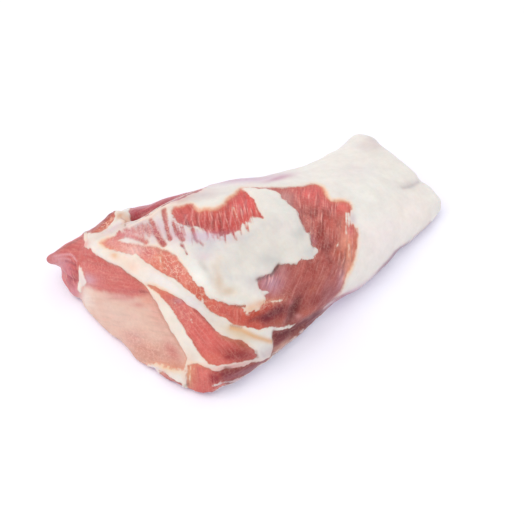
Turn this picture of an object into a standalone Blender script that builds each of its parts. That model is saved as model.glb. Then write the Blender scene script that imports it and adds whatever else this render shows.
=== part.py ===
"""Boneless pork loin, a raw joint of meat with its fat cap, as one closed solid.

The joint lies on its flat underside. +X runs along its length, from the broad fresh-cut end to the
thin end that the fat covers. -Y is the long side that the butcher trimmed, +Y is the chine side.
The origin is the middle of the underside. Sizes are written in millimetres, and MM turns them into
metres when the mesh is made.
"""
import math

import bmesh
import bpy
import numpy as np
from mathutils import Vector, noise

MM = 0.001

# Main sizes of the joint
NEAR_X = -153  # foot of the broad cut end
FAR_X = 144  # thin end
# Each station along the length: x, trimmed side y, chine side y, height of the crest, and the
# superellipse powers of the upper corners on the trimmed and on the chine side
STATIONS = (
    (-160, -88, 91, 73, 2.0, 1.38),
    (-100, -91, 87, 76, 2.2, 1.5),
    (-60, -90, 73, 75, 2.4, 1.6),
    (-20, -88, 62, 70, 2.4, 1.65),
    (20, -85, 50, 61, 2.4, 1.75),
    (50, -82, 37, 54, 2.3, 2.0),
    (100, -76, 36, 44, 2.1, 2.4),
    (160, -71, 44, 34, 1.6, 3.0),
)
TRIM_FOOT = 3.2  # superellipse power of the foot, on each side
CHINE_FOOT = 3.0
TRIM_WAIST = 0.14  # height of the widest point as a share of the crest, on each side
CHINE_WAIST = 0.32

# Ends
CUT_LEAN = 17 / 60  # the cut face leans back by this much for each mm of height
CUT_BULGE = 3
FAR_BULGE = 1
CORNER_START = 25  # y where the cut face starts to run back towards the trimmed side
CORNER_RUN = 102
CORNER_BACK = 14.5
CORNER_MOST = 1.3
CORNER_SLOPE = 40
CUT_EDGE = (15, 7)  # rounding of the cut end's rim, at its top and at its sides
FAR_EDGE = (14, 7)
FAR_LEAN = -0.10
FAR_SKEW = 0.12
FAR_SKEW_SPAN = (-20, 40)
RING_POINTS = 96
RINGS = 90
CAP_RINGS = 14

# Soft parts that stand out or sink in: centre, reach, and how far the meat moves there
PULLS = (
    ((-151, 79, 27), 8, (-12, 5, 1)),  # pointed tip of the end muscle
    ((-148, 64, 9), 11, (-3, 0, -1)),  # bundle that hangs under the tip
    ((-138, 70, 46), 15, (2, -4, -6)),  # shoulder that slopes down to the tip
    ((-92, 48, 60), 11, (3, -7, -9)),  # dark pocket behind the fat knot
    ((148, 26, 26), 18, (3, 2, 2)),  # far corner
)
# Folds and furrows: path, half width, height along the surface's normal
FOLDS = (
    (((-132, 56, 54), (-130, 50, 57)), 5, 4),  # small fat knot
    (((-132, 47, 57), (-122, 40, 64), (-108, 34, 68)), 4, 3),  # folded edge of the fat
    (((-124, 51, 58), (-108, 44, 62)), 5, -3),
    (((-120, 63, 51), (-104, 68, 49)), 8, 4),  # strap of meat between the knots
    (((-102, 61, 53), (-98, 58, 56)), 7, 4),  # large fat knot
    (((-106, 34, 68), (-80, 33, 68), (-62, 34, 66), (-40, 36, 62)), 5, 2),  # ridge of the fat cap
    (((-84, 44, 62), (-62, 42, 62), (-38, 42, 58)), 6, -4),  # furrow behind the ridge
    (((-118, 90, 18), (-60, 76, 24), (-10, 60, 22), (35, 44, 16)), 5, -2.5),  # split between chine muscles
    (((-90, 80, 40), (-40, 66, 40), (0, 54, 36)), 7, 1.8),  # strap of muscle above it
)
# The same on the drawing plane, which leans square to a look down on the cut end's trimmed corner
DRAWN_FOLDS = (
    (((-80, -34), (-70, -50), (-61, -66), (-52, -80)), 4, 1.2),  # seam between eye and wedge
    (((-43, -84), (-30, -82), (-8, -78)), 3, -2.5),  # split under the wedge
    (((2, -60), (16, -57), (34, -48)), 4, -2.0),  # split along the trimmed side
    (((-88, -84), (-74, -89), (-60, -94)), 4, 2),  # ragged lip at the foot of the eye
    (((-88, -80), (-62, -85)), 3, -1.5),
    (((-54, -88), (-44, -92)), 8, 2),  # corner block
    (((-147, -16), (-143, -30), (-146, -38)), 3, -2),  # furrow beside the hanging bundle
)
# Outlines on the drawing plane, with the width of their edge and the rise of what they enclose
FAT_BAND = (
    (-132, 2), (-118, -2), (-103, -5), (-91, -8), (-70, -21), (-50, -36), (-40, -45), (-26, -53), (1, -59),
    (1, -76), (-9, -79), (-12, -72), (-20, -65), (-35, -60), (-48, -46), (-60, -37), (-85, -27), (-103, -16),
    (-122, -8),
)
FAT_PATCH = (
    (-104, 2), (-78, -2), (-66, -7), (-55, -22), (-45, -30), (-37, -38), (-20, -42), (-15, -48), (-4, -39),
    (-9, -29), (-6, -23), (1, -21), (5, -14), (16, -14), (20, -10), (30, -10), (33, -3), (25, 9), (21, 18),
    (8, 39), (-12, 45), (-22, 44), (-11, 31), (-6, 20), (-22, 10), (-45, 6), (-72, 18), (-80, 26), (-102, 11),
)
BARED_FAN = (
    (-23, 43), (-11, 31), (-6, 20), (-22, 12), (-32, 6), (-45, 7), (-70, 17), (-72, 26), (-58, 30), (-50, 26),
    (-40, 26), (-30, 34),
)
BARED_SIDE = (
    (8, 44), (22, 46), (34, 49), (42, 46), (46, 38), (60, 34), (58, 20), (66, 12), (64, -5), (54, -24), (52, -36),
    (40, -48), (18, -56), (-2, -58), (-26, -53), (-40, -45), (-50, -36), (-70, -21), (-91, -8), (-118, -1),
    (-104, 3), (-66, -6), (-45, -30), (-20, -42), (-15, -48), (-4, -39), (-6, -23), (5, -14), (30, -10), (25, 9),
)
SIDE_STEP = ((2, -60), (18, -57), (36, -50), (36, -70), (2, -78))
AREAS = (
    (FAT_BAND, 3, 2.0),
    (FAT_PATCH, 4, 1.2),
    (BARED_FAN, 5, -1.8),
    (BARED_SIDE, 5, -1.2),
    (SIDE_STEP, 3, -2.5),
)
DRAWING_TURN = math.radians(-42)
DRAWING_LEAN = math.radians(45)
FACING = (-0.15, 0.15)  # cosine to the plane's normal at which the drawing starts, and is full, on the meat

UNEVEN = ((45, 1.6), (16, 0.6))  # wavelength and height of the meat's soft unevenness
UNEVEN_FROM = 12  # it fades out below this height, as the underside lies flat
NOISE_SEED = 7.3

VOXEL = 2.2
SMOOTH_ROUNDS = 6
LAST_ROUNDS = 2
TARGET_TRIANGLES = 9600
FOOT_FLAT = 0.6  # what is lower than this is pressed flat by the joint's weight
MIDDLE = (-2.6, -0.5, 0)  # middle of the foot of the modelled joint's box, which becomes the origin

MEAT_COLOUR = (0.55, 0.13, 0.10, 1.0)


def clear_scene():
    for thing in list(bpy.data.objects):
        bpy.data.objects.remove(thing, do_unlink=True)


def through(stations, column, x):
    """Smooth curve through one column of the stations, by cubic pieces with even slopes."""
    xs = np.array([row[0] for row in stations], float)
    ys = np.array([row[column] for row in stations], float)
    slopes = np.gradient(ys, xs)
    x = np.clip(np.asarray(x, float), xs[0], xs[-1])
    i = np.clip(np.searchsorted(xs, x) - 1, 0, len(xs) - 2)
    gap = xs[i + 1] - xs[i]
    t = (x - xs[i]) / gap
    return (
        (2 * t**3 - 3 * t**2 + 1) * ys[i]
        + (t**3 - 2 * t**2 + t) * gap * slopes[i]
        + (3 * t**2 - 2 * t**3) * ys[i + 1]
        + (t**3 - t**2) * gap * slopes[i + 1]
    )


def cut_face(y, z):
    """x of the broad cut end."""
    corner = np.clip((CORNER_START - y) / CORNER_RUN, 0, CORNER_MOST)
    return NEAR_X + CUT_LEAN * z + CORNER_BACK * corner**2 * (1 + z / CORNER_SLOPE)


def far_face(y, z):
    return FAR_X + FAR_LEAN * z + FAR_SKEW * np.clip(y, *FAR_SKEW_SPAN)


def ring(x_guess, inset_top, inset_side):
    """One cross-section as y and z, round in its upper corners and tucked in towards its foot."""
    t = np.arange(RING_POINTS) * 2 * math.pi / RING_POINTS
    trim, chine, crest = (through(STATIONS, column, x_guess) for column in (1, 2, 3))
    middle, half = (trim + chine) / 2, (chine - trim) / 2 - inset_side
    crest = crest - inset_top
    across, upward = np.cos(t), np.sin(t)
    trim_power, chine_power = (through(STATIONS, column, x_guess) for column in (4, 5))
    upper = np.where(across > 0, chine_power, trim_power)
    foot = np.where(across > 0, CHINE_FOOT, TRIM_FOOT)
    power = 2 / np.where(upward > 0, upper, foot)
    waist = crest * np.where(across > 0, CHINE_WAIST, TRIM_WAIST)
    y = middle + half * np.sign(across) * np.abs(across) ** power
    reach = np.where(upward > 0, crest - waist, waist)
    z = waist + reach * np.sign(upward) * np.abs(upward) ** power
    return y, z


def rounding(distance, size):
    """How far a quarter-round edge of this size lies inside, at a distance from the end."""
    left = np.clip(1 - distance / size, 0, 1)
    return size * (1 - math.sqrt(1 - left**2))


def loft():
    """The joint's bulk: rings along its length, closed by domed caps."""
    mesh = bmesh.new()
    rows = []
    steps = 0.5 - 0.5 * np.cos(np.linspace(0, math.pi, RINGS))
    length = FAR_X - NEAR_X
    shapes = []
    for step in steps:
        x = NEAR_X + step * length
        top = rounding(x - NEAR_X, CUT_EDGE[0]) + rounding(FAR_X - x, FAR_EDGE[0])
        side = rounding(x - NEAR_X, CUT_EDGE[1]) + rounding(FAR_X - x, FAR_EDGE[1])
        y, z = ring(x, top, side)
        shapes.append((step, y, z))
    for step, y, z in shapes:
        x = (1 - step) * cut_face(y, z) + step * far_face(y, z)
        rows.append((x, y, z))
    near = cap_rows(*shapes[0][1:], cut_face, -CUT_BULGE)
    far = cap_rows(*shapes[-1][1:], far_face, FAR_BULGE)
    rows = near[::-1] + rows + far
    rings = [[mesh.verts.new((a * MM, b * MM, c * MM)) for a, b, c in zip(*row)] for row in rows]
    for first, second in zip(rings, rings[1:]):
        for i in range(RING_POINTS):
            j = (i + 1) % RING_POINTS
            mesh.faces.new((first[i], first[j], second[j], second[i]))
    mesh.faces.new(rings[0])
    mesh.faces.new(rings[-1][::-1])
    bmesh.ops.recalc_face_normals(mesh, faces=mesh.faces)
    return mesh


def cap_rows(y, z, face, bulge):
    """Ever smaller rings that close an end, domed by the bulge."""
    rows = []
    for step in range(1, CAP_RINGS):
        size = 1 - step / CAP_RINGS
        y_in = y.mean() + (y - y.mean()) * size
        z_in = z.mean() + (z - z.mean()) * size
        rows.append((face(y_in, z_in) + bulge * (1 - size**2), y_in, z_in))
    return rows


def add_object(name, mesh):
    data = bpy.data.meshes.new(name)
    mesh.to_mesh(data)
    mesh.free()
    thing = bpy.data.objects.new(name, data)
    bpy.context.collection.objects.link(thing)
    return thing


def settle(thing):
    """Applies the modifiers and keeps the mesh that they make."""
    graph = bpy.context.evaluated_depsgraph_get()
    made = bpy.data.meshes.new_from_object(thing.evaluated_get(graph))
    thing.modifiers.clear()
    thing.data = made


def remesh(thing, size):
    even = thing.modifiers.new("even mesh", "REMESH")
    even.mode = "VOXEL"
    even.voxel_size = size * MM
    settle(thing)


def soften(thing, rounds):
    smooth = thing.modifiers.new("soften", "SMOOTH")
    smooth.factor = 0.5
    smooth.iterations = rounds
    settle(thing)


def points_of(thing):
    at = np.empty(len(thing.data.vertices) * 3)
    thing.data.vertices.foreach_get("co", at)
    return at.reshape(-1, 3) / MM


def put_points(thing, at):
    thing.data.vertices.foreach_set("co", (at * MM).ravel())
    thing.data.update()


def normals_of(thing):
    out = np.empty(len(thing.data.vertices) * 3)
    thing.data.vertex_normals.foreach_get("vector", out)
    return out.reshape(-1, 3)


def distance_to_path(at, path):
    """Distance of each point to a line through the path's points, in 2 or 3 dimensions."""
    path = np.array(path, float)
    nearest = np.full(len(at), np.inf)
    for start, end in zip(path, path[1:]):
        along = end - start
        share = np.clip((at - start) @ along / (along @ along), 0, 1)
        nearest = np.minimum(nearest, np.linalg.norm(at - start - share[:, None] * along, axis=1))
    return nearest


def depth_inside(at, outline):
    """Distance of each point to a closed outline, above zero inside it."""
    closed = np.array(outline + outline[:1], float)
    crossings = np.zeros(len(at), int)
    for (ax, ay), (bx, by) in zip(closed, closed[1:]):
        if ay == by:
            continue
        spans = (at[:, 1] > min(ay, by)) & (at[:, 1] <= max(ay, by))
        crossings += spans & (at[:, 0] < ax + (at[:, 1] - ay) * (bx - ax) / (by - ay))
    return np.where(crossings % 2 == 1, 1, -1) * distance_to_path(at, closed)


def hump(distance, width):
    return np.exp(-((distance / width) ** 2))


def drawing_axes():
    """Right, up and outward directions of the drawing plane."""
    turn, lean = DRAWING_TURN, DRAWING_LEAN
    right = np.array([math.cos(turn), math.sin(turn), 0])
    outward = np.array([math.sin(turn) * math.cos(lean), -math.cos(turn) * math.cos(lean), math.sin(lean)])
    return right, np.cross(outward, right), outward


def pull(at):
    for centre, reach, move in PULLS:
        share = hump(np.linalg.norm(at - np.array(centre), axis=1), reach)
        at = at + share[:, None] * np.array(move, float)
    return at


def fold_heights(at, normals):
    """Height of the folds, furrows and unevenness at each point."""
    height = np.zeros(len(at))
    for path, width, rise in FOLDS:
        height += rise * hump(distance_to_path(at, path), width)
    right, up, outward = drawing_axes()
    drawn = np.stack([at @ right, at @ up], 1)
    faces_it = np.clip((normals @ outward - FACING[0]) / (FACING[1] - FACING[0]), 0, 1)
    for path, width, rise in DRAWN_FOLDS:
        height += faces_it * rise * hump(distance_to_path(drawn, path), width)
    for outline, width, rise in AREAS:
        share = np.clip(depth_inside(drawn, outline) / width + 0.5, 0, 1)
        height += faces_it * rise * share**2 * (3 - 2 * share)
    lifted = np.clip(at[:, 2] / UNEVEN_FROM, 0, 1) ** 2
    for wave, rise in UNEVEN:
        places = (at / wave + NOISE_SEED).tolist()
        height += lifted * rise * np.array([noise.noise(Vector(place)) for place in places])
    return height


def shape_surface(thing):
    put_points(thing, pull(points_of(thing)))
    at, normals = points_of(thing), normals_of(thing)
    put_points(thing, at + fold_heights(at, normals)[:, None] * normals)


def press_foot(thing):
    at = points_of(thing)
    at[at[:, 2] < FOOT_FLAT, 2] = 0
    put_points(thing, at - MIDDLE)


def lighten(thing):
    fewer = thing.modifiers.new("fewer faces", "DECIMATE")
    fewer.ratio = TARGET_TRIANGLES / (2 * len(thing.data.polygons))
    fewer.use_collapse_triangulate = True


def material():
    meat = bpy.data.materials.new("raw pork")
    meat.use_nodes = True
    shader = meat.node_tree.nodes["Principled BSDF"]
    shader.inputs["Base Color"].default_value = MEAT_COLOUR
    shader.inputs["Roughness"].default_value = 0.4
    shader.inputs["Metallic"].default_value = 0.0
    return meat


def main():
    clear_scene()
    loin = add_object("pork_loin", loft())
    remesh(loin, VOXEL)
    soften(loin, SMOOTH_ROUNDS)
    shape_surface(loin)
    remesh(loin, VOXEL)
    soften(loin, LAST_ROUNDS)
    press_foot(loin)
    lighten(loin)
    loin.data.materials.clear()
    loin.data.materials.append(material())
    loin.data.shade_smooth()


main()
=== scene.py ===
# %% [markdown]
# # A raw boneless pork loin
#
# The joint is one piece of meat: muscles that run side by side, the white seams between them, and a
# cap of firm fat on top, which the butcher has pared away in places. This lesson dresses its plain
# solid: a finer mesh, low relief where fat is cut or torn, and one layered material that knows at
# each point whether fat or lean meat is on top.
#
# The first lines load the plain solid, which gives the size and the place of everything else.

# %% Load the joint
import math

import bpy
import numpy as np
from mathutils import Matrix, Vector, noise


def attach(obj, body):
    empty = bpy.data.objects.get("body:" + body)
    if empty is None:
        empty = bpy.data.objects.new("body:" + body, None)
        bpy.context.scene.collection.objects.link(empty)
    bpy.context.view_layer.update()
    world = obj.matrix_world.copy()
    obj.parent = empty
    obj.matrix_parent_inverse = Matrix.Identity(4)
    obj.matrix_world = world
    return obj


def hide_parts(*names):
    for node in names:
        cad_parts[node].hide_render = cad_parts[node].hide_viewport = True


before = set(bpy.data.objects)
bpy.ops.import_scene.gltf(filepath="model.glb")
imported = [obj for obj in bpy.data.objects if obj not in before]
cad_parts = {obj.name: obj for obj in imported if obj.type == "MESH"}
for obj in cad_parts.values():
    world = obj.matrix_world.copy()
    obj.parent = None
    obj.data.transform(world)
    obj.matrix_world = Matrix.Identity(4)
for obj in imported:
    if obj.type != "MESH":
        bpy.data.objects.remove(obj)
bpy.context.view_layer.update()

MM = 0.001
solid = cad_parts["pork_loin"]

# %% [markdown]
# ## A plane to draw on
#
# The borders between fat and meat wander over the top, the cut end and the trimmed side, which all
# look towards one corner. So they are drawn as flat outlines on a plane that leans square to a look
# down on that corner, and laid on the joint along the plane's normal. Each outline is a few points
# in millimetres: u runs to the right along the plane and v runs up it. Faces that look away from
# the plane get a rule of their own later.

# %% The drawing plane
DRAWING_TURN = math.radians(-42)
DRAWING_LEAN = math.radians(45)
MIDDLE = np.array((-2.6, -0.5, 0))  # added to a point of the solid before it is laid on the plane
FACING = (-0.15, 0.15)  # cosine to the plane's normal at which the drawing starts, and is full

RIGHT = np.array((math.cos(DRAWING_TURN), math.sin(DRAWING_TURN), 0))
OUTWARD = np.array((
    math.sin(DRAWING_TURN) * math.cos(DRAWING_LEAN),
    -math.cos(DRAWING_TURN) * math.cos(DRAWING_LEAN),
    math.sin(DRAWING_LEAN),
))
UPWARD = np.cross(OUTWARD, RIGHT)


def smooth(share):
    share = np.clip(share, 0, 1)
    return share * share * (3 - 2 * share)


def near_path(at, path):
    """Distance of each point to a line through the path's points, and how far along it, from 0 to 1."""
    path = np.array(path, float)
    nearest, progress = np.full(len(at), np.inf), np.zeros(len(at))
    for number, (start, end) in enumerate(zip(path, path[1:])):
        along = end - start
        share = np.clip((at - start) @ along / (along @ along), 0, 1)
        distance = np.linalg.norm(at - start - share[:, None] * along, axis=1)
        progress = np.where(distance < nearest, (number + share) / (len(path) - 1), progress)
        nearest = np.minimum(nearest, distance)
    return nearest, progress


def distance_to_path(at, path):
    return near_path(at, path)[0]


def depth_inside(at, outline):
    """Distance of each point to a closed outline, above zero inside it."""
    closed = np.array(outline + outline[:1], float)
    crossings = np.zeros(len(at), int)
    for (ax, ay), (bx, by) in zip(closed, closed[1:]):
        if ay == by:
            continue
        spans = (at[:, 1] > min(ay, by)) & (at[:, 1] <= max(ay, by))
        crossings += spans & (at[:, 0] < ax + (at[:, 1] - ay) * (bx - ax) / (by - ay))
    return np.where(crossings % 2 == 1, 1, -1) * distance_to_path(at, closed)


def hump(distance, width):
    return np.exp(-((distance / width) ** 2))


# %% [markdown]
# ## A finer mesh
#
# The solid has long facets. A voxel remesh lays even squares over it, a little over a millimetre
# wide, and a few rounds of smoothing take the facets away and leave the folds. That is fine enough
# to carry cut edges and creases as real shape, and light enough to handle.

# %% Remesh and smooth
VOXEL = 1.25
SMOOTH_ROUNDS = 8

body = bpy.data.objects.new("raw_loin", solid.data.copy())
bpy.context.scene.collection.objects.link(body)
body.data.materials.clear()
even = body.modifiers.new("even squares", "REMESH")
even.mode = "VOXEL"
even.voxel_size = VOXEL * MM
soften = body.modifiers.new("soften facets", "SMOOTH")
soften.factor = 0.5
soften.iterations = SMOOTH_ROUNDS


def settle(thing):
    """Applies the modifiers and keeps the mesh that they make."""
    graph = bpy.context.evaluated_depsgraph_get()
    made = bpy.data.meshes.new_from_object(thing.evaluated_get(graph))
    thing.modifiers.clear()
    thing.data = made


def read_points(thing):
    flat = np.empty(len(thing.data.vertices) * 3)
    thing.data.vertices.foreach_get("co", flat)
    return flat.reshape(-1, 3) / MM


def read_normals(thing):
    flat = np.empty(len(thing.data.vertices) * 3)
    thing.data.vertex_normals.foreach_get("vector", flat)
    return flat.reshape(-1, 3)


settle(body)
at = read_points(body)
normals = read_normals(body)
print("fine mesh:", len(body.data.polygons), "faces")

# %% Where each point falls on the drawing
drawn = np.stack([(at + MIDDLE) @ RIGHT, (at + MIDDLE) @ UPWARD], 1)
faces_drawing = smooth((normals @ OUTWARD - FACING[0]) / (FACING[1] - FACING[0]))


def lumps(points, size, seed=0.0):
    """Soft noise from -1 to 1, with bumps of this size in mm."""
    places = (points / size + seed).tolist()
    return np.array([noise.noise(Vector(place)) for place in places])


wander = 1.1 * lumps(at, 7, 3.1) + 0.9 * lumps(at, 3.2, 8.4)
print("drawing covers", round(100 * faces_drawing.mean()), "% of the joint")

# %% [markdown]
# ## The lean meat
#
# Where the cap of fat is pared off, red muscle shows: along the top, in a fan behind the patch of
# fat that was left on, and down the trimmed side. The broad end is a fresh cut through three
# muscles, the large pale eye, the red muscle above it and the wedge beside it.

# %% Outlines on the top: bared meat, the patch of fat left on it, the strip and the fan
BARED = (
    (-121.5, 1.2), (-117, -2), (-103, -5), (-92, -7), (-85, -12), (-70, -21), (-60, -27), (-50, -36),
    (-40, -45), (-30, -50), (-25, -54), (-13, -56.5), (-8, -58), (0, -57), (8, -57.5), (15, -57.5), (20, -56),
    (34, -51), (46, -43), (53, -35), (54, -30), (55, -24), (60, -16), (62.5, -10), (64.5, -3), (66, 9),
    (65, 13), (61, 15.5), (58, 18), (58, 22), (60, 25), (62, 28), (62.4, 31), (60, 34), (56, 35), (50, 34.2),
    (46, 34.6), (43.6, 38), (42.4, 42.5), (41.3, 46), (38, 48), (33, 49), (27, 47), (20, 45.5), (10, 44.5),
    (-12, 45), (-23, 43.5), (-25, 41), (-28, 37), (-32, 34), (-34, 30), (-38, 27), (-42, 25.5), (-48, 26),
    (-52, 24), (-55, 27), (-57, 30), (-60, 31), (-66, 29), (-71, 28), (-73, 24), (-80, 27), (-92, 17),
    (-103, 9), (-110, 6.5), (-116.5, 4),
)
PATCH = (
    (-109, 3), (-103, 1.5), (-95, 0), (-80, -2), (-70, -5), (-65, -8), (-62, -12), (-58, -16), (-56, -20),
    (-52, -25), (-49, -28.5), (-45, -29.5), (-44, -34), (-41, -36.5), (-36, -38.5), (-32, -40), (-28, -41.3),
    (-24, -41), (-21, -42.3), (-18, -42), (-17, -47.5), (-15.5, -48), (-14, -46), (-12, -45.5), (-9, -44),
    (-7, -42), (-5, -39.5), (-4, -36.5), (-4.5, -35), (-1, -33.5), (-3, -32), (-6, -31.5), (-8.5, -30.5),
    (-9.5, -25), (-8, -22.8), (-3, -21.5), (1, -20.5), (2, -18), (4, -16), (5, -14), (18, -14), (19, -12),
    (20, -10.5), (24, -10), (25, -11), (30.5, -10), (31, -8), (33, -6), (34, -4), (33, -2.5), (30, -2),
    (28.5, 0), (28, 4), (28, 8.5), (25, 9), (24, 11), (22, 15), (21, 18), (20, 22), (19, 25), (16, 28),
    (12, 31), (12, 33), (8, 35), (8, 38), (4, 41), (0, 42.5), (-12, 44), (-20, 44.5), (-22, 43), (-19, 41),
    (-15, 36.5), (-12, 33.5), (-10, 28), (-7, 22), (-6, 19.5), (-14, 20), (-16, 16), (-19, 16), (-21, 12),
    (-23, 9.5), (-27, 8), (-32, 6), (-38, 6.5), (-45, 8), (-49, 11), (-53, 12), (-60, 13), (-66, 16),
    (-71, 20), (-72, 24), (-73, 28), (-80, 28), (-92, 18), (-100, 11), (-103, 4.5),
)
STRIP = (
    (-124, 2), (-116, 4), (-106, 2.5), (-98, 1), (-80, -2), (-65, -8), (-58, -17), (-44, -31), (-30, -41),
    (-18, -43), (-8, -50), (-8, -60), (-25, -58), (-60, -32), (-85, -14), (-104, -6), (-120, -3),
)
FAN = (
    (-74, 32), (-74, 18), (-62, 10), (-40, 3), (-20, 8), (-4, 18), (-8, 34), (-20, 46), (-40, 34), (-60, 34),
)
print("points around the bared meat:", len(BARED), "and around the patch:", len(PATCH))

# %% Outlines on the cut end: the muscles, a sliver of fat between them, the corner block and the lip
CUT_MEAT = (
    (-180, -12), (-160, 14), (-144, 10), (-142.4, 5.8), (-139.5, 1.5), (-136, -2), (-130, -3), (-122, -9),
    (-110, -14), (-103, -16), (-99, -20), (-94, -23), (-88, -26.5), (-85, -29), (-82.5, -33), (-80, -35.5),
    (-77, -42), (-74, -48), (-70, -56), (-65, -64), (-62, -69), (-59, -73.5), (-57.5, -78), (-58, -83),
    (-61, -86), (-66, -86), (-73, -84), (-79, -83), (-86, -84), (-95, -90), (-180, -60),
)
EYE = (
    (-150, -36), (-144, -35), (-139, -30), (-134, -30), (-126, -33), (-116, -34.5), (-104, -36), (-95, -37),
    (-86, -36), (-81, -36), (-77, -43), (-72, -52), (-66, -62), (-60, -71), (-57, -78), (-58, -84),
    (-62, -88), (-80, -92), (-100, -95), (-180, -70), (-160, -40),
)
WEDGE = (
    (-85, -27.5), (-80, -28), (-75, -30.5), (-67, -34), (-60, -37.5), (-57, -40), (-49, -45), (-45, -49),
    (-40, -54), (-37, -58.5), (-33, -61), (-27, -63.5), (-20, -65), (-15, -69), (-11, -73), (-10, -77),
    (-11, -79.5), (-20, -80.3), (-30, -81), (-37, -82), (-42.5, -81), (-44, -79), (-48, -75), (-51, -70),
    (-56, -62), (-60, -55), (-64, -48), (-70, -40), (-76, -33.5), (-80, -31),
)
SLIVER = (
    (-143, -15), (-140, -17), (-138, -22), (-136, -27), (-138, -30), (-142, -31), (-143, -35), (-145, -36),
    (-147, -33), (-145, -28), (-144.5, -22),
)
CORNER = (
    (-58, -82.5), (-54, -81.5), (-50, -81.5), (-44, -83), (-40, -85.5), (-36, -87), (-33, -92), (-30, -99),
    (-50, -110), (-57, -102), (-58, -95), (-58.5, -88),
)
LIP_MEAT = (
    (-78, -88.5), (-74, -88.5), (-70, -91), (-65, -94), (-61, -95.5), (-62, -99), (-72, -98), (-77.5, -92.5),
)
print("points around the eye:", len(EYE), "and around the wedge:", len(WEDGE))

# %% Outlines on the trimmed side and the flap
SIDE_MEAT = (
    (2, -60.5), (9, -60.5), (14, -59.5), (18, -56), (22, -53), (36, -48), (48, -40), (56, -38), (68, -34.5),
    (80, -27), (92, -16), (94, -18), (84, -34), (74, -50), (20, -90), (-10, -110), (-50, -110), (-31, -95),
    (-35, -90), (-40, -86.5), (-31, -84.5), (-20, -83.5), (-8, -81), (-1, -79.5), (2, -75),
)
STRAP = (
    (-144, 11.6), (-140, 9.8), (-136, 9.6), (-133, 9), (-127, 9), (-122, 11), (-119, 15), (-117, 19),
    (-117, 23), (-117.5, 27), (-113.5, 33), (-116, 44), (-140, 30),
)
BACK_STRIP = (
    (-108.5, 27), (-105.5, 21), (-104, 16), (-98, 17.5), (-90, 21.5), (-85, 26), (-80, 29), (-72, 33),
    (-60, 38.5), (-52, 43), (-46, 60), (-90, 60), (-113, 45), (-112, 33),
)
LEAN_OUTLINES = (WEDGE, CUT_MEAT, CORNER, SIDE_MEAT, LIP_MEAT, STRAP, BACK_STRIP)
print("outlines of lean meat:", len(LEAN_OUTLINES) + 1)

# %% [markdown]
# ## The sides that the drawing can't reach
#
# The chine side was freed from the backbone, so lean meat shows there in long bundles below the
# edge of the fat, in a strip that narrows towards the thin end. The thin end is a cut like the
# broad one: the tail of the eye under a rim of fat. The underside is meat in its silvery skin, with
# fat along its trimmed edge. These are drawn on upright and level planes in the same way.

# %% Outlines on the hidden sides
CHINE_MEAT = (  # x and z
    (-175, 70), (-110, 66), (-70, 60), (-40, 52), (-10, 42), (14, 28), (34, 20), (70, 12), (110, 9), (146, 7),
    (146, -9), (-175, -9),
)
CHINE_SEAMS = (  # path in x and z, half width at its start and at its end
    (((-124, 42), (-118, 32), (-108, 23), (-84, 15), (-44, 10)), 4.0, 0.5),
    (((-88, 48), (-82, 40), (-70, 33), (-44, 26), (-8, 19)), 2.2, 0.4),
)
THIN_END_MEAT = (  # y and z
    (-66, 10), (-50, 17), (-25, 22), (0, 23), (20, 22), (34, 17), (38, 8), (30, 4), (0, 3), (-40, 3),
    (-62, 5),
)
END_SEAM_HALF = 0.9  # half the width of the seam on the thin end
FAR_OUTSIDE = 20  # mm, more than any border reaches: it switches a rule off where it doesn't apply
UNDER_MEAT = (  # x and y
    (-170, -80), (-60, -82), (0, -74), (60, -62), (130, -52), (134, 26), (60, 30), (20, 46), (-60, 74),
    (-170, 96),
)


def hidden_depth(at, normals):
    """Depth in lean meat on the chine side, the thin end and the underside, by where each face looks."""
    chine = depth_inside(at[:, [0, 2]], CHINE_MEAT)
    for path, first, last in CHINE_SEAMS:
        distance, progress = near_path(at[:, [0, 2]], path)
        chine = np.minimum(chine, distance - first - (last - first) * progress + 1.2 * lumps(at, 9, 2.7))
    thin_end = depth_inside(at[:, [1, 2]], THIN_END_MEAT)
    under = depth_inside(at[:, :2], UNDER_MEAT)
    shares = np.stack([normals[:, 1], normals[:, 0], -normals[:, 2]], 1).clip(0.01, 1) ** 4
    depths = np.stack([chine, thin_end, under], 1)
    return (shares * depths).sum(1) / shares.sum(1)


lean = np.minimum(depth_inside(drawn, BARED), -depth_inside(drawn, PATCH))
for outline in LEAN_OUTLINES:
    lean = np.maximum(lean, depth_inside(drawn, outline))
lean = np.minimum(lean, -depth_inside(drawn, SLIVER))
lean = faces_drawing * lean + (1 - faces_drawing) * hidden_depth(at, normals)
thin_end = (1 - faces_drawing) * smooth((normals[:, 0] - 0.5) / 0.3)
end_seam = at[:, 1] - 15 + 0.25 * at[:, 2] + 2.5 * lumps(at, 12, 6.6)
lean = np.minimum(lean, np.abs(end_seam) - END_SEAM_HALF + FAR_OUTSIDE * (1 - thin_end))

# %% [markdown]
# Beside the fan the fat is shaved so thin that red streaks show along the fibres. Each is a short
# path with its own half width, and a few pale shreds of fat lie the same way on the red.

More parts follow.
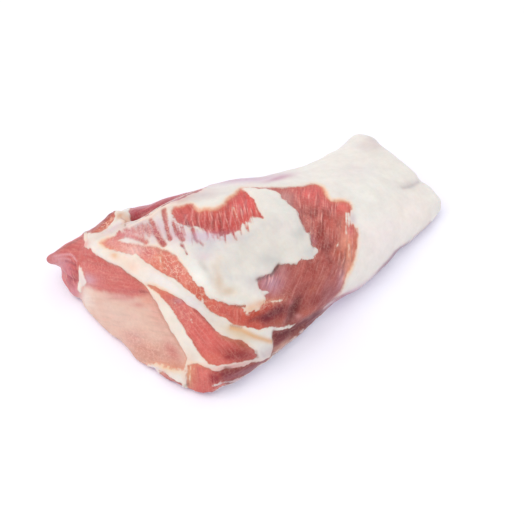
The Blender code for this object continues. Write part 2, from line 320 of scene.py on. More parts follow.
# %% Streaks through thin fat, and shreds of fat on the meat
STREAKS = (  # path, half width at its start and at its end
    (((-86, 18), (-84.5, 16), (-81, 10), (-77.8, 5), (-73.5, -0.5)), 1.2, 2.3),
    (((-78, 25.6), (-75.5, 19), (-72.5, 11), (-69.5, 3.5)), 1.8, 1.4),
    (((-68.5, 15.2), (-64.6, 8.4), (-61.4, 3.5)), 1.6, 2.1),
    (((-61.3, -0.7), (-59, -3.8), (-57, -7)), 1.0, 0.4), (((-62.5, 12), (-60, 6)), 0.6, 0.3),
    (((-54.5, 10), (-52.6, 4.5), (-50.8, 0.8)), 1.7, 0.6), (((-50.8, 2.5), (-47, -0.7)), 0.7, 0.2),
    (((-46, 11), (-43.5, 5)), 0.9, 0.1), (((-42.5, 10), (-40, 4.5)), 0.8, 0.1),
    (((-38.4, 9), (-35.8, 3.2)), 1.0, 0.3), (((-32.8, 8), (-31, -0.7)), 1.0, 0.1),
    (((-27.4, 9), (-23.5, 2.4)), 1.1, 0.2), (((-23, 13), (-20.5, 7)), 0.9, 0.1),
    (((-19.2, 16), (-15.9, 9.2)), 1.1, 0.2), (((-16.2, 21), (-13.7, 15)), 0.9, 0.1),
    (((-9.1, 24), (-5.8, 19.2)), 1.1, 0.2), (((-108, 8), (-99, 6.5), (-91, 4), (-86, 1)), 1.4, 1.7),
    (((-104, 10.5), (-98, 10), (-93, 8)), 1.2, 0.8), (((-94, 12), (-91, 8), (-88, 4)), 0.8, 0.9),
    (((-90, 14), (-87, 9), (-84, 5)), 0.4, 0.5),
)
SHREDS = (  # path, half width
    (((-40, -96.3), (-36, -95.3), (-32.8, -94.2), (-26.8, -93.4), (-18.9, -91.6)), 0.7),
    (((-75.6, -8.5), (-74.5, -14), (-72, -17)), 0.1), (((-79.5, -9), (-75.6, -9)), 0.0),
    (((58.5, 24), (57.5, 20), (58.5, 16)), 0.9), (((56.5, 14), (56.5, 9)), 0.6),
    (((49.8, 2), (45.8, -5.4)), 0.15), (((57.8, 0.5), (57.6, -9)), 0.0), (((-46, -34), (-45.5, -39)), 0.2),
    (((-18, -43), (-17, -48)), 0.7), (((-12, -41), (-10, -43.5)), 0.4),
    (((-8, -40), (0, -39.5), (5, -39), (10, -38.5)), 0.3), (((-58, -82.5), (-58.5, -97)), 0.5),
    (((-55, -83), (-55.5, -93)), 0.25), (((-52.5, -83), (-52.8, -90)), 0.05),
    # the three short shreds on this line are painted glints of the wet wedge, drawn as fat
    (((-53.5, -46), (-53, -48)), 0.4), (((-53.5, -51), (-53, -53)), 0.4), (((-66, -39), (-64, -40)), 0.4),
    (((40, -48), (46, -44.5), (51, -41), (58, -36.5)), 0.6), (((50, -43.8), (55, -41.2), (62, -37)), 0.3),
    (((1.4, -77.6), (8, -72.6), (15.5, -67.8), (24, -61.4)), 0.5),
    (((-34, -93), (-30, -96.5), (-25, -96.5)), 0.3), (((-8, -24), (-5, -20)), 0.1),
    (((-27, 27), (-24, 20)), 0.05),
)
elsewhere = 9 * (1 - faces_drawing)  # mm that keep the lines off the sides that the drawing doesn't reach
for path, first, last in STREAKS:
    distance, progress = near_path(drawn, path)
    half_width = first + (last - first) * progress
    lean = np.maximum(lean, faces_drawing * (half_width - distance) - elsewhere)
for path, half_width in SHREDS:
    lean = np.minimum(lean, faces_drawing * (distance_to_path(drawn, path) - half_width) + elsewhere)
lean += 0.5 * wander * smooth((6 - np.abs(lean)) / 5)
print("lean on top:", round(100 * (lean > 0).mean()), "% of the surface")

# %% [markdown]
# ## Spots of change
#
# Meat changes softly from place to place: darker where blood gathers, orange where a film of fat
# covers it, lilac under a membrane. One helper paints soft oval spots, each with its centre, its
# reach along and across, its tilt in degrees and what it brings, over a value that is even at first.


# %% A helper for soft spots
def spot_share(u, v, along, across, tilt):
    """Share of an oval spot on the drawing, 1 at its centre."""
    turn = math.radians(tilt)
    du, dv = drawn[:, 0] - u, drawn[:, 1] - v
    forward = (du * math.cos(turn) + dv * math.sin(turn)) / along
    sideways = (dv * math.cos(turn) - du * math.sin(turn)) / across
    return faces_drawing * np.exp(-(forward**2 + sideways**2))


def spotted(start, spots):
    value = np.full(len(at), float(start))
    for *place, level in spots:
        value += spot_share(*place) * (level - value)
    return value


# %% [markdown]
# ## How the fat meets the meat
#
# A knife leaves a clean border. Where fat was pulled off, it ends in threads, and where the knife
# shaved it thin, it fades and lets the red through as orange. Three values hold that: how soft the
# border is, how far it is torn into threads, and how warm its edge glows.

# %% Softness, threads and glow of the border
SOFT = spotted(0.45, (
    (-50, 27, 26, 4, 0, 2.2), (-28, 37, 12, 4, 50, 2.0), (60, 0, 6, 30, -4, 1.3), (50, 38, 14, 5, -25, 1.8),
    (-70, -8, 14, 4, -35, 1.2), (-120, 2, 8, 6, 10, 1.4), (5, 44, 16, 3, 0, 1.2), (30, 48, 10, 3, 0, 1.0),
    (-110, -15, 30, 3, -20, 0.8), (-145, -25, 6, 14, 0, 1.4), (-75, -86, 16, 4, 0, 1.2),
    (-40, 10, 30, 6, 0, 0.9), (60, -36, 16, 6, 30, 2.5), (-10, -43, 8, 4, 20, 1.0), (-104, 20, 6, 8, 0, 0.9),
    (-78, 9, 18, 10, -10, 1.3), (-96, 7, 10, 6, -20, 2.2), (-36, 8, 26, 5, 0, 1.4), (-12, 18, 7, 6, 0, 1.3),
    (-52, 2, 8, 5, 0, 1.2),
))
THREADS = spotted(0.0, (
    (-40, 8, 30, 5, 0, 2.2), (-16, 16, 6, 6, 0, 2.0), (-66, 14, 10, 6, -20, 1.6), (22, 20, 8, 18, -60, 1.6),
    (60, 18, 5, 10, 0, 3.0), (52, -20, 6, 14, 0, 1.2), (-104, 8, 8, 4, 0, 2.0),
))
TORN = spotted(0.35, (
    (-20, -42, 12, 5, 0, 1.3), (2, -20, 9, 8, 30, 1.1), (22, -10, 14, 5, 0, 1.8), (24, 12, 6, 24, 20, 1.7),
    (-52, -26, 14, 4, -40, 0.7), (-13, -44, 6, 4, 10, 2.8), (-3, -40, 8, 3, 10, 1.6),
    (-75, -87, 16, 5, 0, 1.6), (10, -58, 14, 3, 10, 0.8), (-100, 22, 12, 8, 0, 0.8), (-64, 18, 10, 6, 0, 0.8),
))
GLOW = spotted(0.12, (
    (-50, 26, 24, 5, 0, 0.8), (-29, 36, 12, 4, 50, 0.9), (48, 40, 16, 7, -30, 1.0), (57, -14, 8, 16, 0, 0.9),
    (62, 4, 5, 20, 0, 0.4), (-72, -9, 16, 5, -35, 0.7), (-120, 1, 10, 6, 0, 0.8), (-75, -29, 12, 4, -20, 0.9),
    (-20, -66, 14, 3, -15, 0.5), (-50, -82, 8, 5, 0, 0.7), (-75, -84, 16, 4, 0, 0.6),
    (-2, -41, 10, 4, 20, 0.7), (-88, -25, 10, 4, -30, 0.5),
))
print("border softness, mm:", round(float(SOFT.min()), 2), "to", round(float(SOFT.max()), 2))

# %% [markdown]
# ## Fibres
#
# Muscle is a bundle of long fibres, and its shine and its colour both follow them. Two numbers for
# each point say how far across and how far along the fibres it lies, so a pattern that is squeezed
# one way becomes fibres. In the fan they run down towards the cut end, beside the patch they curve
# like a bracket, and on the cut end only short stubs of them show.


# %% Fibre directions
MUSCLE_GAP = 40  # between the pattern of one muscle and that of the next
HIDDEN_MUSCLE = 9  # one number for the sides that the drawing doesn't reach
GRAIN_TURNS = ((WEDGE, -50), (CUT_MEAT, -6), (SIDE_MEAT, 25), (STRAP, 60), (BACK_STRIP, 35))  # degrees


def fibre_places():
    """Across, along and a number for each muscle, so that no pattern runs on into the next."""
    u, v = drawn[:, 0], drawn[:, 1]
    fan_lean = np.interp(u, (-100, -60, -40, -10), (0.55, 0.40, 0.18, 0.28))
    across, along, muscle = u + fan_lean * v, v, np.zeros(len(u))
    beside = (u > 2) | ((u > -9) & (v < -20)) | ((u > -30) & (v < -38))
    below = 15 - v
    bend = np.interp(u, (38, 56), (1, 0.5))
    across = np.where(beside, u + bend * (0.1 * below + 0.0035 * np.clip(below, 0, 60) ** 2), across)
    muscle = np.where(beside, 1, muscle)
    strip = depth_inside(drawn, BARED) > -1
    strip &= (v < 8 - 0.6 * (u + 124)) & (u < -26) & (v < 8)
    across = np.where(strip, v * 0.85 + u * 0.5, across)
    along = np.where(strip, u * 0.85 - v * 0.5, along)
    muscle = np.where(strip, 2, muscle)
    for number, (outline, turn) in enumerate(GRAIN_TURNS, 3):
        inside = depth_inside(drawn, outline) > -1.5
        c, s = math.cos(math.radians(turn)), math.sin(math.radians(turn))
        across = np.where(inside, v * c - u * s, across)
        along = np.where(inside, u * c + v * s, along)
        muscle = np.where(inside, number, muscle)
    bundle = (u < -143) & (v < -8)
    across = np.where(bundle, u + 0.2 * v, across)
    along = np.where(bundle, v, along)
    across = across + 1.2 * lumps(at, 16, 7.7) + 0.15 * lumps(at, 4, 2.9)
    hidden = faces_drawing < 0.5
    across = np.where(hidden, at[:, 2] + 0.3 * at[:, 1], across)
    cut_face = smooth((np.abs(normals[:, 0]) - 0.4) / 0.4)
    along = np.where(hidden, at[:, 0] + 8 * at[:, 1] * cut_face, along)
    muscle = np.where(hidden, HIDDEN_MUSCLE, muscle)
    return np.stack([across, along, muscle * MUSCLE_GAP], 1)


fibre = fibre_places()
print("muscles with a grain of their own:", len(np.unique(fibre[:, 2])))

# %% [markdown]
# ## Relief
#
# The fat stands up from the meat by the thickness of what the knife left, and the loose patch is
# wrinkled. The meat has long shallow ridges. These are moved points, not only shading, so they hold
# in any light. Heights are in millimetres along the surface's own normal.

# %% Heights of the relief
FAT_STEP = 0.9
STEP_WIDTH = 2.2
RIDGE = 0.35  # height of the ridges along the fibres
MOUND = 0.35  # and of the broad unevenness everywhere
PIMPLE = 0.12  # and of the small one on the fat
WRINKLE = 0.9  # and of the wrinkles of the patch
FOOT = 5  # height over the table over which the relief fades in
print("the fat stands", FAT_STEP, "mm above the meat")

# %% Creases and mounds
# paths of creases that get a line of colour as well
FAR_CREASE = ((110, 49), (118, 51), (127, 56))
RED_VALLEY = ((12.6, -55), (16, -48), (17.5, -42.5), (21, -38))
BUNDLE_CREASE = ((-159.5, -20), (-152.3, -24.5), (-145, -26.7))
BUNDLE_FOLD = ((-152, -17), (-146.6, -20))
SIDE_NICK = ((50.5, -42.5), (57, -38.8))
CREASES = (  # path on the drawing, half width, height
    (((-132, 1), (-118, -3), (-103, -6), (-91, -9), (-70, -22), (-50, -37), (-26, -54), (-8, -58.5)),
      1.5, -0.7),
    (((-122, -9.5), (-103, -17), (-88, -27), (-62, -36.5), (-48, -46.5), (-37, -59), (-20, -66)), 1.5, -0.6),
    (((-80, -35), (-74, -48), (-62, -69), (-57, -79)), 1.4, -0.5),
    (((-45, -84.5), (-30, -83.5), (-9, -80)), 1.4, -1.0), (((2, -59.5), (3, -72), (1, -78)), 1.6, -0.9),
    (((-139, 4), (-128, 3), (-118, 7), (-105, 13)), 1.3, -0.8),
    (((-118, 14), (-113, 20), (-107, 19), (-104, 14)), 1.4, -0.9),
    (((-148, -13), (-145, -22), (-148, -32)), 1.8, -0.8),
    (((-157, -12), (-150, -11), (-145, -14)), 1.4, -0.7), (((-155, -23), (-149, -25)), 1.2, -0.5),
    (((-48, -13), (-43, -19)), 2.2, -0.4), (FAR_CREASE, 3.0, -1.0),
    (((-30, -38), (-22, -40), (-16, -45)), 1.6, 0.7),
    (((-86, -84), (-76, -86), (-64, -88), (-58, -92)), 1.6, 0.8), (RED_VALLEY, 3.2, -1.4),
    (((3, -64), (14, -62.5), (25, -57)), 2.6, -1.3),
    (((4, -75.5), (12.5, -70), (19, -66), (26, -61)), 1.6, 0.7),
    (((-164, -8.5), (-158.8, -7), (-152.2, -6.3), (-148.3, -8.6), (-146, -13)), 1.1, 0.5),
    (BUNDLE_CREASE, 1.1, -0.6), (BUNDLE_FOLD, 1.0, -0.5), (SIDE_NICK, 1.0, -0.7),
    (((-124, 14), (-119, 12.5), (-114, 9.5)), 1.2, -0.7), (((-14, -53), (-2, -51), (8, -49)), 2.2, -1.0),
    (((-9, -24), (-3, -22.5), (0.5, -21), (3, -17), (5, -14.5)), 1.3, -1.1),
    (((-6, -33), (-2, -35)), 1.2, -0.8), (((-41, -36.5), (-30, -41.3), (-20, -42.5)), 1.3, -0.6),
    (((-31, -84.5), (-25, -85)), 1.4, -0.8), (((-104, -33), (-92, -33.5), (-84, -33)), 1.2, -0.3),
    (((-77, -88), (-72, -92), (-68, -97)), 1.6, -0.9), (((-56, -82), (-57, -97)), 1.2, -0.8),
)
MOUNDS = (  # u, v, reach along and across, tilt in degrees, height
    (-4, -43, 6, 4, 20, 1.3), (6, -44, 5, 4, 0, 0.9), (4, -54, 6, 3, 10, 1.0), (24, -49, 9, 5, 25, 1.5),
    (-22, -49, 9, 4, -15, 0.9), (-8, -56, 8, 2.5, -10, 0.8), (34, -43, 7, 4, 30, 0.8),
    (14, -41, 3, 2.5, 0, 0.8), (0, -27, 8, 5, 60, 0.7), (30, -22, 10, 6, 30, 0.7), (-64, -38.5, 3, 2, 0, 0.6),
    (-46, -60, 10, 6, -50, 0.6), (-28, -70, 5, 4, 0, -0.5), (-110, 17, 4, 7, 10, 1.0),
    (-100, 21, 4, 5, 0, -2.5), (-131, 16, 5, 4, 30, -1.2), (-96, 24, 8, 3, 35, -1.2), (57, 28, 7, 5, 0, 0.6),
    (34, 38, 8, 6, 0, 0.5), (-38, 18, 12, 7, 0, 0.5), (-152, -18, 5, 9, 0, 0.8), (-134, 11, 4, 3, 0, 0.5),
    (12, 6, 14, 10, 20, 0.5), (-20, -10, 12, 10, 0, 0.4), (-30, -26, 6, 8, 0, -0.4), (22, 8, 6, 4, 30, -0.5),
    (-3, -8, 8, 6, 40, 0.5), (110, 30, 20, 12, 40, 0.6), (84, 60, 16, 10, 30, -0.5),
)
print("creases:", len(CREASES), "mounds:", len(MOUNDS))

# %% Raise the fat and cut the creases
ridges = lumps(np.stack([fibre[:, 0] / 2.6, fibre[:, 1] / 22, fibre[:, 2] + 0.5], 1), 1)
height = FAT_STEP * smooth(0.5 - (lean + 0.5 * wander) / STEP_WIDTH)
height += RIDGE * ridges * smooth(lean / 3)
height += MOUND * lumps(at, 11, 5.5) + PIMPLE * lumps(at, 4, 1.7) * smooth(-lean / 4)
slanted = np.stack([drawn[:, 0] / 7 + drawn[:, 1] / 16, drawn[:, 1] / 15, at[:, 2] / 60], 1)
wrinkles = np.abs(lumps(slanted, 1, 2.3))
height += faces_drawing * smooth(depth_inside(drawn, PATCH) / 5) * (WRINKLE * wrinkles - 0.2)
for path, width, rise in CREASES:
    height += faces_drawing * rise * hump(distance_to_path(drawn, path), width)
for *spot, rise in MOUNDS:
    height += rise * spot_share(*spot)
at = at + (height - FAT_STEP / 2)[:, None] * normals * smooth(at[:, 2] / FOOT)[:, None]

# %% [markdown]
# The outline gets its small bumps and notches the same way, only that these points move within the
# drawing plane: outwards where a scrap of meat hangs over, inwards where a knife nicked the edge.

# %% Nicks and scraps along the outline
RIM = (  # u, v, reach, outwards
    (-168, -10, 7, 2.0), (-170, -10.5, 3, 2.2), (-165, -18, 5, -3.6), (-157, -33, 6, -1.6),
    (-147, -42, 5, -2.6), (-127, 22, 6, -1.3), (-98, 35, 8, -1.2), (-8, 60, 12, -2.2), (94, 98, 7, 1.5),
    (131, 58, 6, -2.2), (149, 42, 4, 1.8), (146, 30, 8, -2.4), (106, -4, 10, -1.6), (58, -41, 8, -2.4),
    (47, -48, 9, -3.4), (36, -55, 8, -1.8), (-33, -99, 6, -1.8), (-50, -100, 6, 1.3), (-71, -93, 5, 1.6),
    (-83, -88, 4, -1.8), (-94, -81, 6, 2.6), (-111, -70, 7, -1.2), (-22, -93, 5, 0.6), (63, 91, 8, -0.9),
)
in_plane = normals - (normals @ OUTWARD)[:, None] * OUTWARD
in_plane[:, 2] *= smooth(at[:, 2] / FOOT)
for u, v, reach, out in RIM:
    nearby = hump(np.linalg.norm(drawn - (u, v), axis=1), reach)
    at = at + (out * nearby)[:, None] * in_plane
body.data.vertices.foreach_set("co", (at * MM).ravel())
body.data.update()
body.data.shade_smooth()
print("relief, mm:", round(float(height.min()), 1), "to", round(float(height.max()), 1))

# %% [markdown]
# ## Colours
#
# Colours are written as the screen shows them, as sRGB hex values, and one function turns them into
# the linear numbers that a renderer adds and multiplies.


# %% sRGB to linear
def linear(colour):
    parts = [int(colour[i : i + 2], 16) / 255 for i in (1, 3, 5)]
    return np.array([part / 12.92 if part <= 0.04045 else ((part + 0.055) / 1.055) ** 2.4 for part in parts])


# %% [markdown]
# ## Tones of the lean meat
#
# Fresh pork is greyish pink, and its red comes from myoglobin: the eye of the loin has little and
# is pale, the small working muscles around it have more. Bared meat that has met the air is a warmer
# red. Towards the trimmed side, which faces away from the lamp, it is painted browner and then
# purple, partly its own tone and partly painted shade. Each tone is a soft spot.

# %% Tones of the muscles on the cut end
LEAN_BASE = "#B25A50"
LEAN_MUSCLES = (  # outline, half width of its soft border, tone
    (CUT_MEAT, 2.0, "#CA655C"), (EYE, 2.2, "#DCB6A2"), (WEDGE, 2.0, "#D2675D"), (STRIP, 2.5, "#D97963"),
    # the dark tone of the side meat is partly its own and partly painted shade
    (FAN, 3.0, "#C65149"), (SIDE_MEAT, 2.0, "#843A3B"), (CORNER, 2.0, "#C86058"), (STRAP, 1.4, "#B8584C"),
    (BACK_STRIP, 2.0, "#B25058"),
)
CUT_SPOTS = (  # u, v, reach along and across, tilt, tone: red meat, its lilac side, then the pale eye
    (-150, -2, 14, 8, 10, "#C5625C"), (-128, -10, 16, 6, -10, "#C35247"), (-135, -24, 8, 5, 0, "#C27A7C"),
    (-112, -24, 12, 6, -10, "#CA6A60"), (-97, -32.8, 14, 2.0, 0, "#C26660"),
    (-106, -37.5, 12, 2.5, 0, "#D08E86"), (-92, -42, 6, 2, 0, "#CF9488"), (-140, -40, 10, 9, -30, "#E6D2C2"),
    (-108, -50, 16, 9, -20, "#DCBCAA"), (-86, -76, 20, 9, -15, "#CE9380"), (-98, -66, 8, 5, 0, "#D5A092"),
    (-68, -74, 5, 9, 30, "#CC8478"), (-66, -84, 10, 4, -10, "#D0907A"), (-79, -46, 4, 12, 28, "#DCA896"),
    (-84, -38, 6, 3, 0, "#D89A84"), (-166, -9, 6, 6, 0, "#C07070"), (-160, -13, 5, 4, 0, "#C88484"),
    (-153, -24, 7, 12, 0, "#C4646A"), (-150, -36, 6, 6, 0, "#D28890"), (-130, -17, 12, 4, -12, "#CC645A"),
)
WEDGE_SPOTS = (
    (-80, -30, 8, 3.5, -30, "#D0866A"), (-70, -34, 8, 5, -45, "#D6715E"), (-60, -47, 12, 8, -55, "#D2766C"),
    (-45, -62, 14, 9, -50, "#D4665C"), (-22, -75, 13, 5, -15, "#94302C"), (-19, -68, 8, 3, -30, "#A8543E"),
    (-40, -77, 8, 4, 0, "#D26A5A"), (-30, -63, 6, 2, -20, "#B66A52"), (-62, -38, 4, 2, 0, "#BE7880"),
    (-28, -76, 4, 2, 0, "#983230"),
)
print("spots on the cut end:", len(CUT_SPOTS + WEDGE_SPOTS))

# %% Tones along the top: the strip beside the band of fat, the fan, and the meat beside the patch
STRIP_SPOTS = (
    (-112, 2, 12, 4, -5, "#DD9088"), (-92, -4.5, 12, 5, -8, "#F0C2B8"), (-85, -7, 5, 4, 0, "#DA7870"),
    (-64, -17, 12, 7, -35, "#D87A6A"), (-48, -34, 10, 5, -45, "#CA6450"), (-30, -46, 12, 5, -25, "#C85A4E"),
    (-14, -50, 8, 5, 0, "#C04A3C"), (-111, 6.5, 9, 2.5, 15, "#C86A6C"),
)
FAN_SPOTS = (
    (-66, 24, 7, 7, 0, "#CA544C"), (-18, 30, 9, 12, -60, "#D8544E"), (-46, 23, 14, 4, 0, "#C8584A"),
    (-55, 13, 10, 3, -10, "#AC4A4C"), (-34, 8, 14, 3.5, 0, "#B04448"), (-40, 16, 10, 5, 0, "#B8443E"),
)
BESIDE_SPOTS = (
    (32, 41, 16, 8, 0, "#DA5A52"), (54, 29, 9, 6, 0, "#D86259"), (36, 32, 12, 6, 0, "#CC6058"),
    (12, 36, 7, 7, 30, "#BC7A72"), (26, 14, 5, 10, 10, "#B4645A"), (28, 26, 6, 5, 0, "#A8554B"),
    (42, 14, 8, 10, 0, "#BC5649"), (58, 2, 7, 18, 0, "#E08C72"), (56, -14, 6, 10, 0, "#D68C76"),
    (60, 12, 4, 6, 0, "#CC6C66"), (41, -1, 5, 5, 0, "#863632"), (30, 4, 4, 5, 0, "#A65C60"),
    (37, 9, 5, 7, 20, "#A24C42"), (50, -7, 4, 4, 0, "#C45A44"), (53, -23, 4, 6, 0, "#A4605C"),
    (32, -18, 14, 10, 0, "#AA5248"), (14, -22, 8, 8, 0, "#A85248"), (24, -30, 8, 4, 0, "#9E4A42"),
    (36, -24, 5, 4, 40, "#B05A4C"), (18, -30, 4, 6, 0, "#A85850"), (3, -37, 9, 2.2, 10, "#B86650"),
    (0, -27, 8, 7, 0, "#AA6064"), (8, -18, 5, 5, 0, "#B57470"), (-10, -46, 7, 5, 40, "#C0482E"),
    # the dark spots at (4, -46), (17, -46), (34, -40) and (-3, -51) are partly the meat's own dark red and
    # partly painted shade in the valleys; the small light spots at (18.6, -50.5) and (14, -40.5) are painted
    # highlights
    (4, -46, 9, 5, 20, "#701E24"), (17, -46, 6, 8, -25, "#6E2224"), (34, -40, 11, 8, 25, "#923730"),
    (-2, -42.5, 4, 2.5, 20, "#B44434"), (-3, -51, 7, 3, 0, "#78222A"), (-12, -56, 7, 2, -15, "#BC4E40"),
    (5, -55, 5, 2.5, 0, "#A4523E"), (26, -48, 7, 3.2, 15, "#B4543C"), (18.6, -50.5, 2, 1.8, 0, "#C88078"),
    (14, -40.5, 2.5, 1.5, 0, "#B06460"), (44, -34, 8, 8, 30, "#A05452"), (30, -32, 5, 3, 20, "#AC5444"),
    (10, -33, 6, 3, 0, "#A8564A"),
)
print("spots along the top:", len(STRIP_SPOTS + FAN_SPOTS + BESIDE_SPOTS))

# %% Tones of the trimmed side with the corner block, the flap with its pocket, and under thin fat
# the trimmed side faces away from the lamp: its dark tones are partly its own and partly painted shade
SIDE_SPOTS = (
    (13, -62, 13, 4, 22, "#6C2426"), (8, -72.5, 9, 2.2, 33, "#CCA294"), (18, -71, 14, 1.8, 35, "#7C4450"),
    (34, -52, 12, 3, 28, "#7C4448"), (-15, -85, 24, 4, 12, "#843638"), (-56, -90, 2.5, 9, 0, "#DCA07C"),
    (-52, -90, 2.5, 8, 0, "#CE7866"), (-46, -88, 4, 7, 0, "#D9776C"), (-38, -91, 4, 6, 0, "#962630"),
    (-28, -91, 8, 2.5, 10, "#92484E"), (-2, -84, 12, 4, 20, "#9A6468"), (-72, -92, 6, 4, -30, "#CC8078"),
    (62, -38, 8, 2, 30, "#A05866"),
)
FLAP_SPOTS = (
    (-134, 11.5, 6, 3, 0, "#B65E56"), (-127, 12, 6, 3, 30, "#C4644E"), (-120, 18, 3.5, 6, 40, "#C6664E"),
    # the darkest spot, at (-102, 18), is painted shade in the pocket
    (-125, 22, 8, 3, 45, "#A44E4C"), (-102, 22, 4, 5, 0, "#AF444B"), (-102, 18, 3, 3, 0, "#7A262C"),
    (-86, 27, 10, 4, 35, "#963C42"), (-64, 39, 12, 4, 25, "#B0646C"),
)
THIN_FAT_SPOTS = (
    (-80, 8, 16, 10, 0, "#B2545C"), (-99, 7, 10, 5, -15, "#D48688"), (-75, 17, 4, 9, 0, "#B8605E"),
    (-65, 8, 5, 6, 0, "#AC484E"), (-58, -3, 5, 5, 0, "#AE7078"), (-51, 3, 5, 5, 0, "#A4707C"),
)
LEAN_SPOTS = CUT_SPOTS + WEDGE_SPOTS + STRIP_SPOTS + FAN_SPOTS + BESIDE_SPOTS
LEAN_SPOTS += SIDE_SPOTS + FLAP_SPOTS + THIN_FAT_SPOTS
print("spots of lean meat:", len(LEAN_SPOTS))


# %% Paint the lean
def painted(base, muscles, spots):
    tone = np.tile(linear(base), (len(at), 1))
    for outline, border, colour in muscles:
        inside = faces_drawing * smooth(0.5 + (depth_inside(drawn, outline) + wander) / (2 * border))
        tone += inside[:, None] * (linear(colour) - tone)
    for *place, colour in spots:
        tone += spot_share(*place)[:, None] * (linear(colour) - tone)
    return tone


def shade_hidden(tone, colour, size, seed):
    """Another tone in soft patches on the sides that the drawing doesn't reach."""
    share = (1 - faces_drawing) * smooth(0.5 + 1.2 * lumps(at, size, seed))
    return tone + share[:, None] * (linear(colour) - tone)


lean_tone = painted(LEAN_BASE, LEAN_MUSCLES, LEAN_SPOTS)
lean_tone = shade_hidden(lean_tone, "#A8505A", 22, 2.2)
lean_tone = shade_hidden(lean_tone, "#C46A66", 9, 6.1)
end_depth = depth_inside(at[:, [1, 2]], THIN_END_MEAT) + wander
for colour, share in (
    ("#D9A894", 1),  # the pale tail of the eye
    ("#C0625C", smooth((end_seam + 1) / 2)),  # the small muscle beside it
    ("#C4706A", 0.8 * smooth((5 - end_depth) / 5)),  # both redder towards their rim
    ("#CE9080", 0.6 * smooth(0.5 + 1.5 * lumps(at, 7, 5.3))),
):
    lean_tone += (thin_end * share)[:, None] * (linear(colour) - lean_tone)
print("lean painted, mean red:", round(float(lean_tone[:, 0].mean()), 2))

# %% [markdown]
# No muscle is of one tone for long. Blotches a few millimetres wide, drawn out along the fibres, are
# darker and browner or lighter and pinker: red changes least from one to the next.

# %% Mottle the lean
MOTTLED = spotted(0.3, (
    (34, 5, 30, 34, 0, 2.6), (8, -48, 26, 8, 12, 1.3), (-45, 18, 30, 12, 0, 0.4), (-70, -16, 24, 8, -35, 0.8),
    (-45, -58, 26, 12, -50, 0.6), (-90, -68, 26, 16, -20, 0.35), (-110, -46, 16, 8, 0, 0.15),
    (-20, -86, 24, 6, 12, 0.9), (-80, 8, 24, 10, -10, 0.9), (-124, 16, 10, 8, 0, 0.9),
    (-84, 30, 20, 6, 30, 0.8), (-124, 14, 12, 8, 30, 1.6),
))
along_grain = np.stack([fibre[:, 0] / 4, fibre[:, 1] / 8, fibre[:, 2]], 1)
mottle = MOTTLED * (0.8 * lumps(along_grain, 1, 4.7) + 0.5 * lumps(at, 2.6, 3.9))
lean_tone *= 1 + mottle[:, None] * np.array((0.15, 0.36, 0.36))
print("mottle:", round(float(mottle.min()), 2), "to", round(float(mottle.max()), 2))

# %% [markdown]
# ## Tones of the fat
#
# Pork back fat is firm and nearly white, a little warm, with yellower fields where it is thin or has
# dried, and greyer ones that are painted shade of its folds and creases. The seams between the
# muscles are creamier than the cap.

# %% Tones of the patch, and of the thin fat before the fan
FAT_BASE = "#E9E4D8"
PATCH_SPOTS = (  # u, v, reach along and across, tilt, tone
    # the grey spots are painted shade of the patch's soft folds, and the bright ones along its lower left
    # edge, at (-50, -17) and (-47, -25), are a painted highlight on its raised rim
    (-8, 0, 36, 26, 0, "#DFDACE"), (6, 28, 12, 12, 0, "#E4E1D6"), (-50, -17, 12, 8, -45, "#EAE8DE"),
    (-35.5, -25, 3.2, 8, 6, "#D6C2AC"), (-38, -16, 3, 6, 0, "#E0D6C8"), (-29, -32, 5, 3, 0, "#DCC9B0"),
    (-22, -37, 7, 2.5, 0, "#E3DFD1"), (-46, -8, 6, 4, 0, "#DAC9C8"), (-47, -25, 9, 3, -48, "#EFEDE2"),
    (-14, -43.5, 5, 3.5, 20, "#E4C0A2"), (-7, -41, 4, 3, 0, "#DBB094"), (20, 8, 6, 5, 30, "#D2D1C8"),
    (28, -5, 5, 5, 0, "#D2D0C8"), (-30, -15, 10, 6, 30, "#D9D4CA"), (0, -12, 8, 4, 0, "#D6D5CC"),
    (-45, -3, 9, 5, 0, "#D5D1CC"), (8, 12, 9, 6, 0, "#E2DCD3"), (-12, -26, 6, 5, 0, "#D4D0C8"),
)
FILM_SPOTS = (
    (-82, 10, 20, 9, 10, "#D7BEC2"), (-98, 9, 9, 4, -10, "#DCBEC0"), (-50, 4, 12, 4, 0, "#CCBEC6"),
    (-66, 8, 7, 6, 0, "#D9BFC3"), (-84, 3, 6, 3, 0, "#DCD0CC"), (-92, 15, 8, 3, 25, "#CFC0C4"),
    (-34, 4, 16, 3.5, 0, "#D2CACA"),
)
print("spots on the patch:", len(PATCH_SPOTS), "and on the thin fat:", len(FILM_SPOTS))

# %% Tones of the band with the seams, of the fold with its knots, and of the far end
BAND_SPOTS = (
    (-95, -14, 22, 6, -20, "#EDD7C3"), (-108, -8, 3.4, 2.0, -15, "#E6BC98"), (-93, -16, 4, 3, 0, "#EDCFBA"),
    (-75, -24, 14, 4, -30, "#EBE3DB"), (-40, -50, 14, 5, -45, "#DFD6CA"), (-50, -40, 8, 4, -40, "#E0D9D4"),
    (-22, -60, 12, 4, -22, "#DBC6A8"), (-78, -37, 6, 3, -30, "#E8CFBC"), (-4, -73, 6, 5, 0, "#DCD5CC"),
    (-68, -54, 6, 20, 25, "#EADFCE"), (-56, -76, 7, 6, 0, "#E5D6C4"), (-54, -90, 2.5, 8, 0, "#DDB293"),
    (-59, -90, 2.5, 8, 0, "#E4D2C4"), (-80, -87, 12, 4, -10, "#E8DEDC"), (-70, -86, 10, 3, -10, "#E2CBB0"),
    (-140, -24, 4, 10, 0, "#E9D9CC"), (-28, -83.5, 16, 2.2, 8, "#D4A09C"), (-47, -82, 6, 2, 0, "#EDD8D2"),
    (-125, -2, 6, 4, -40, "#E7DCD0"),
)
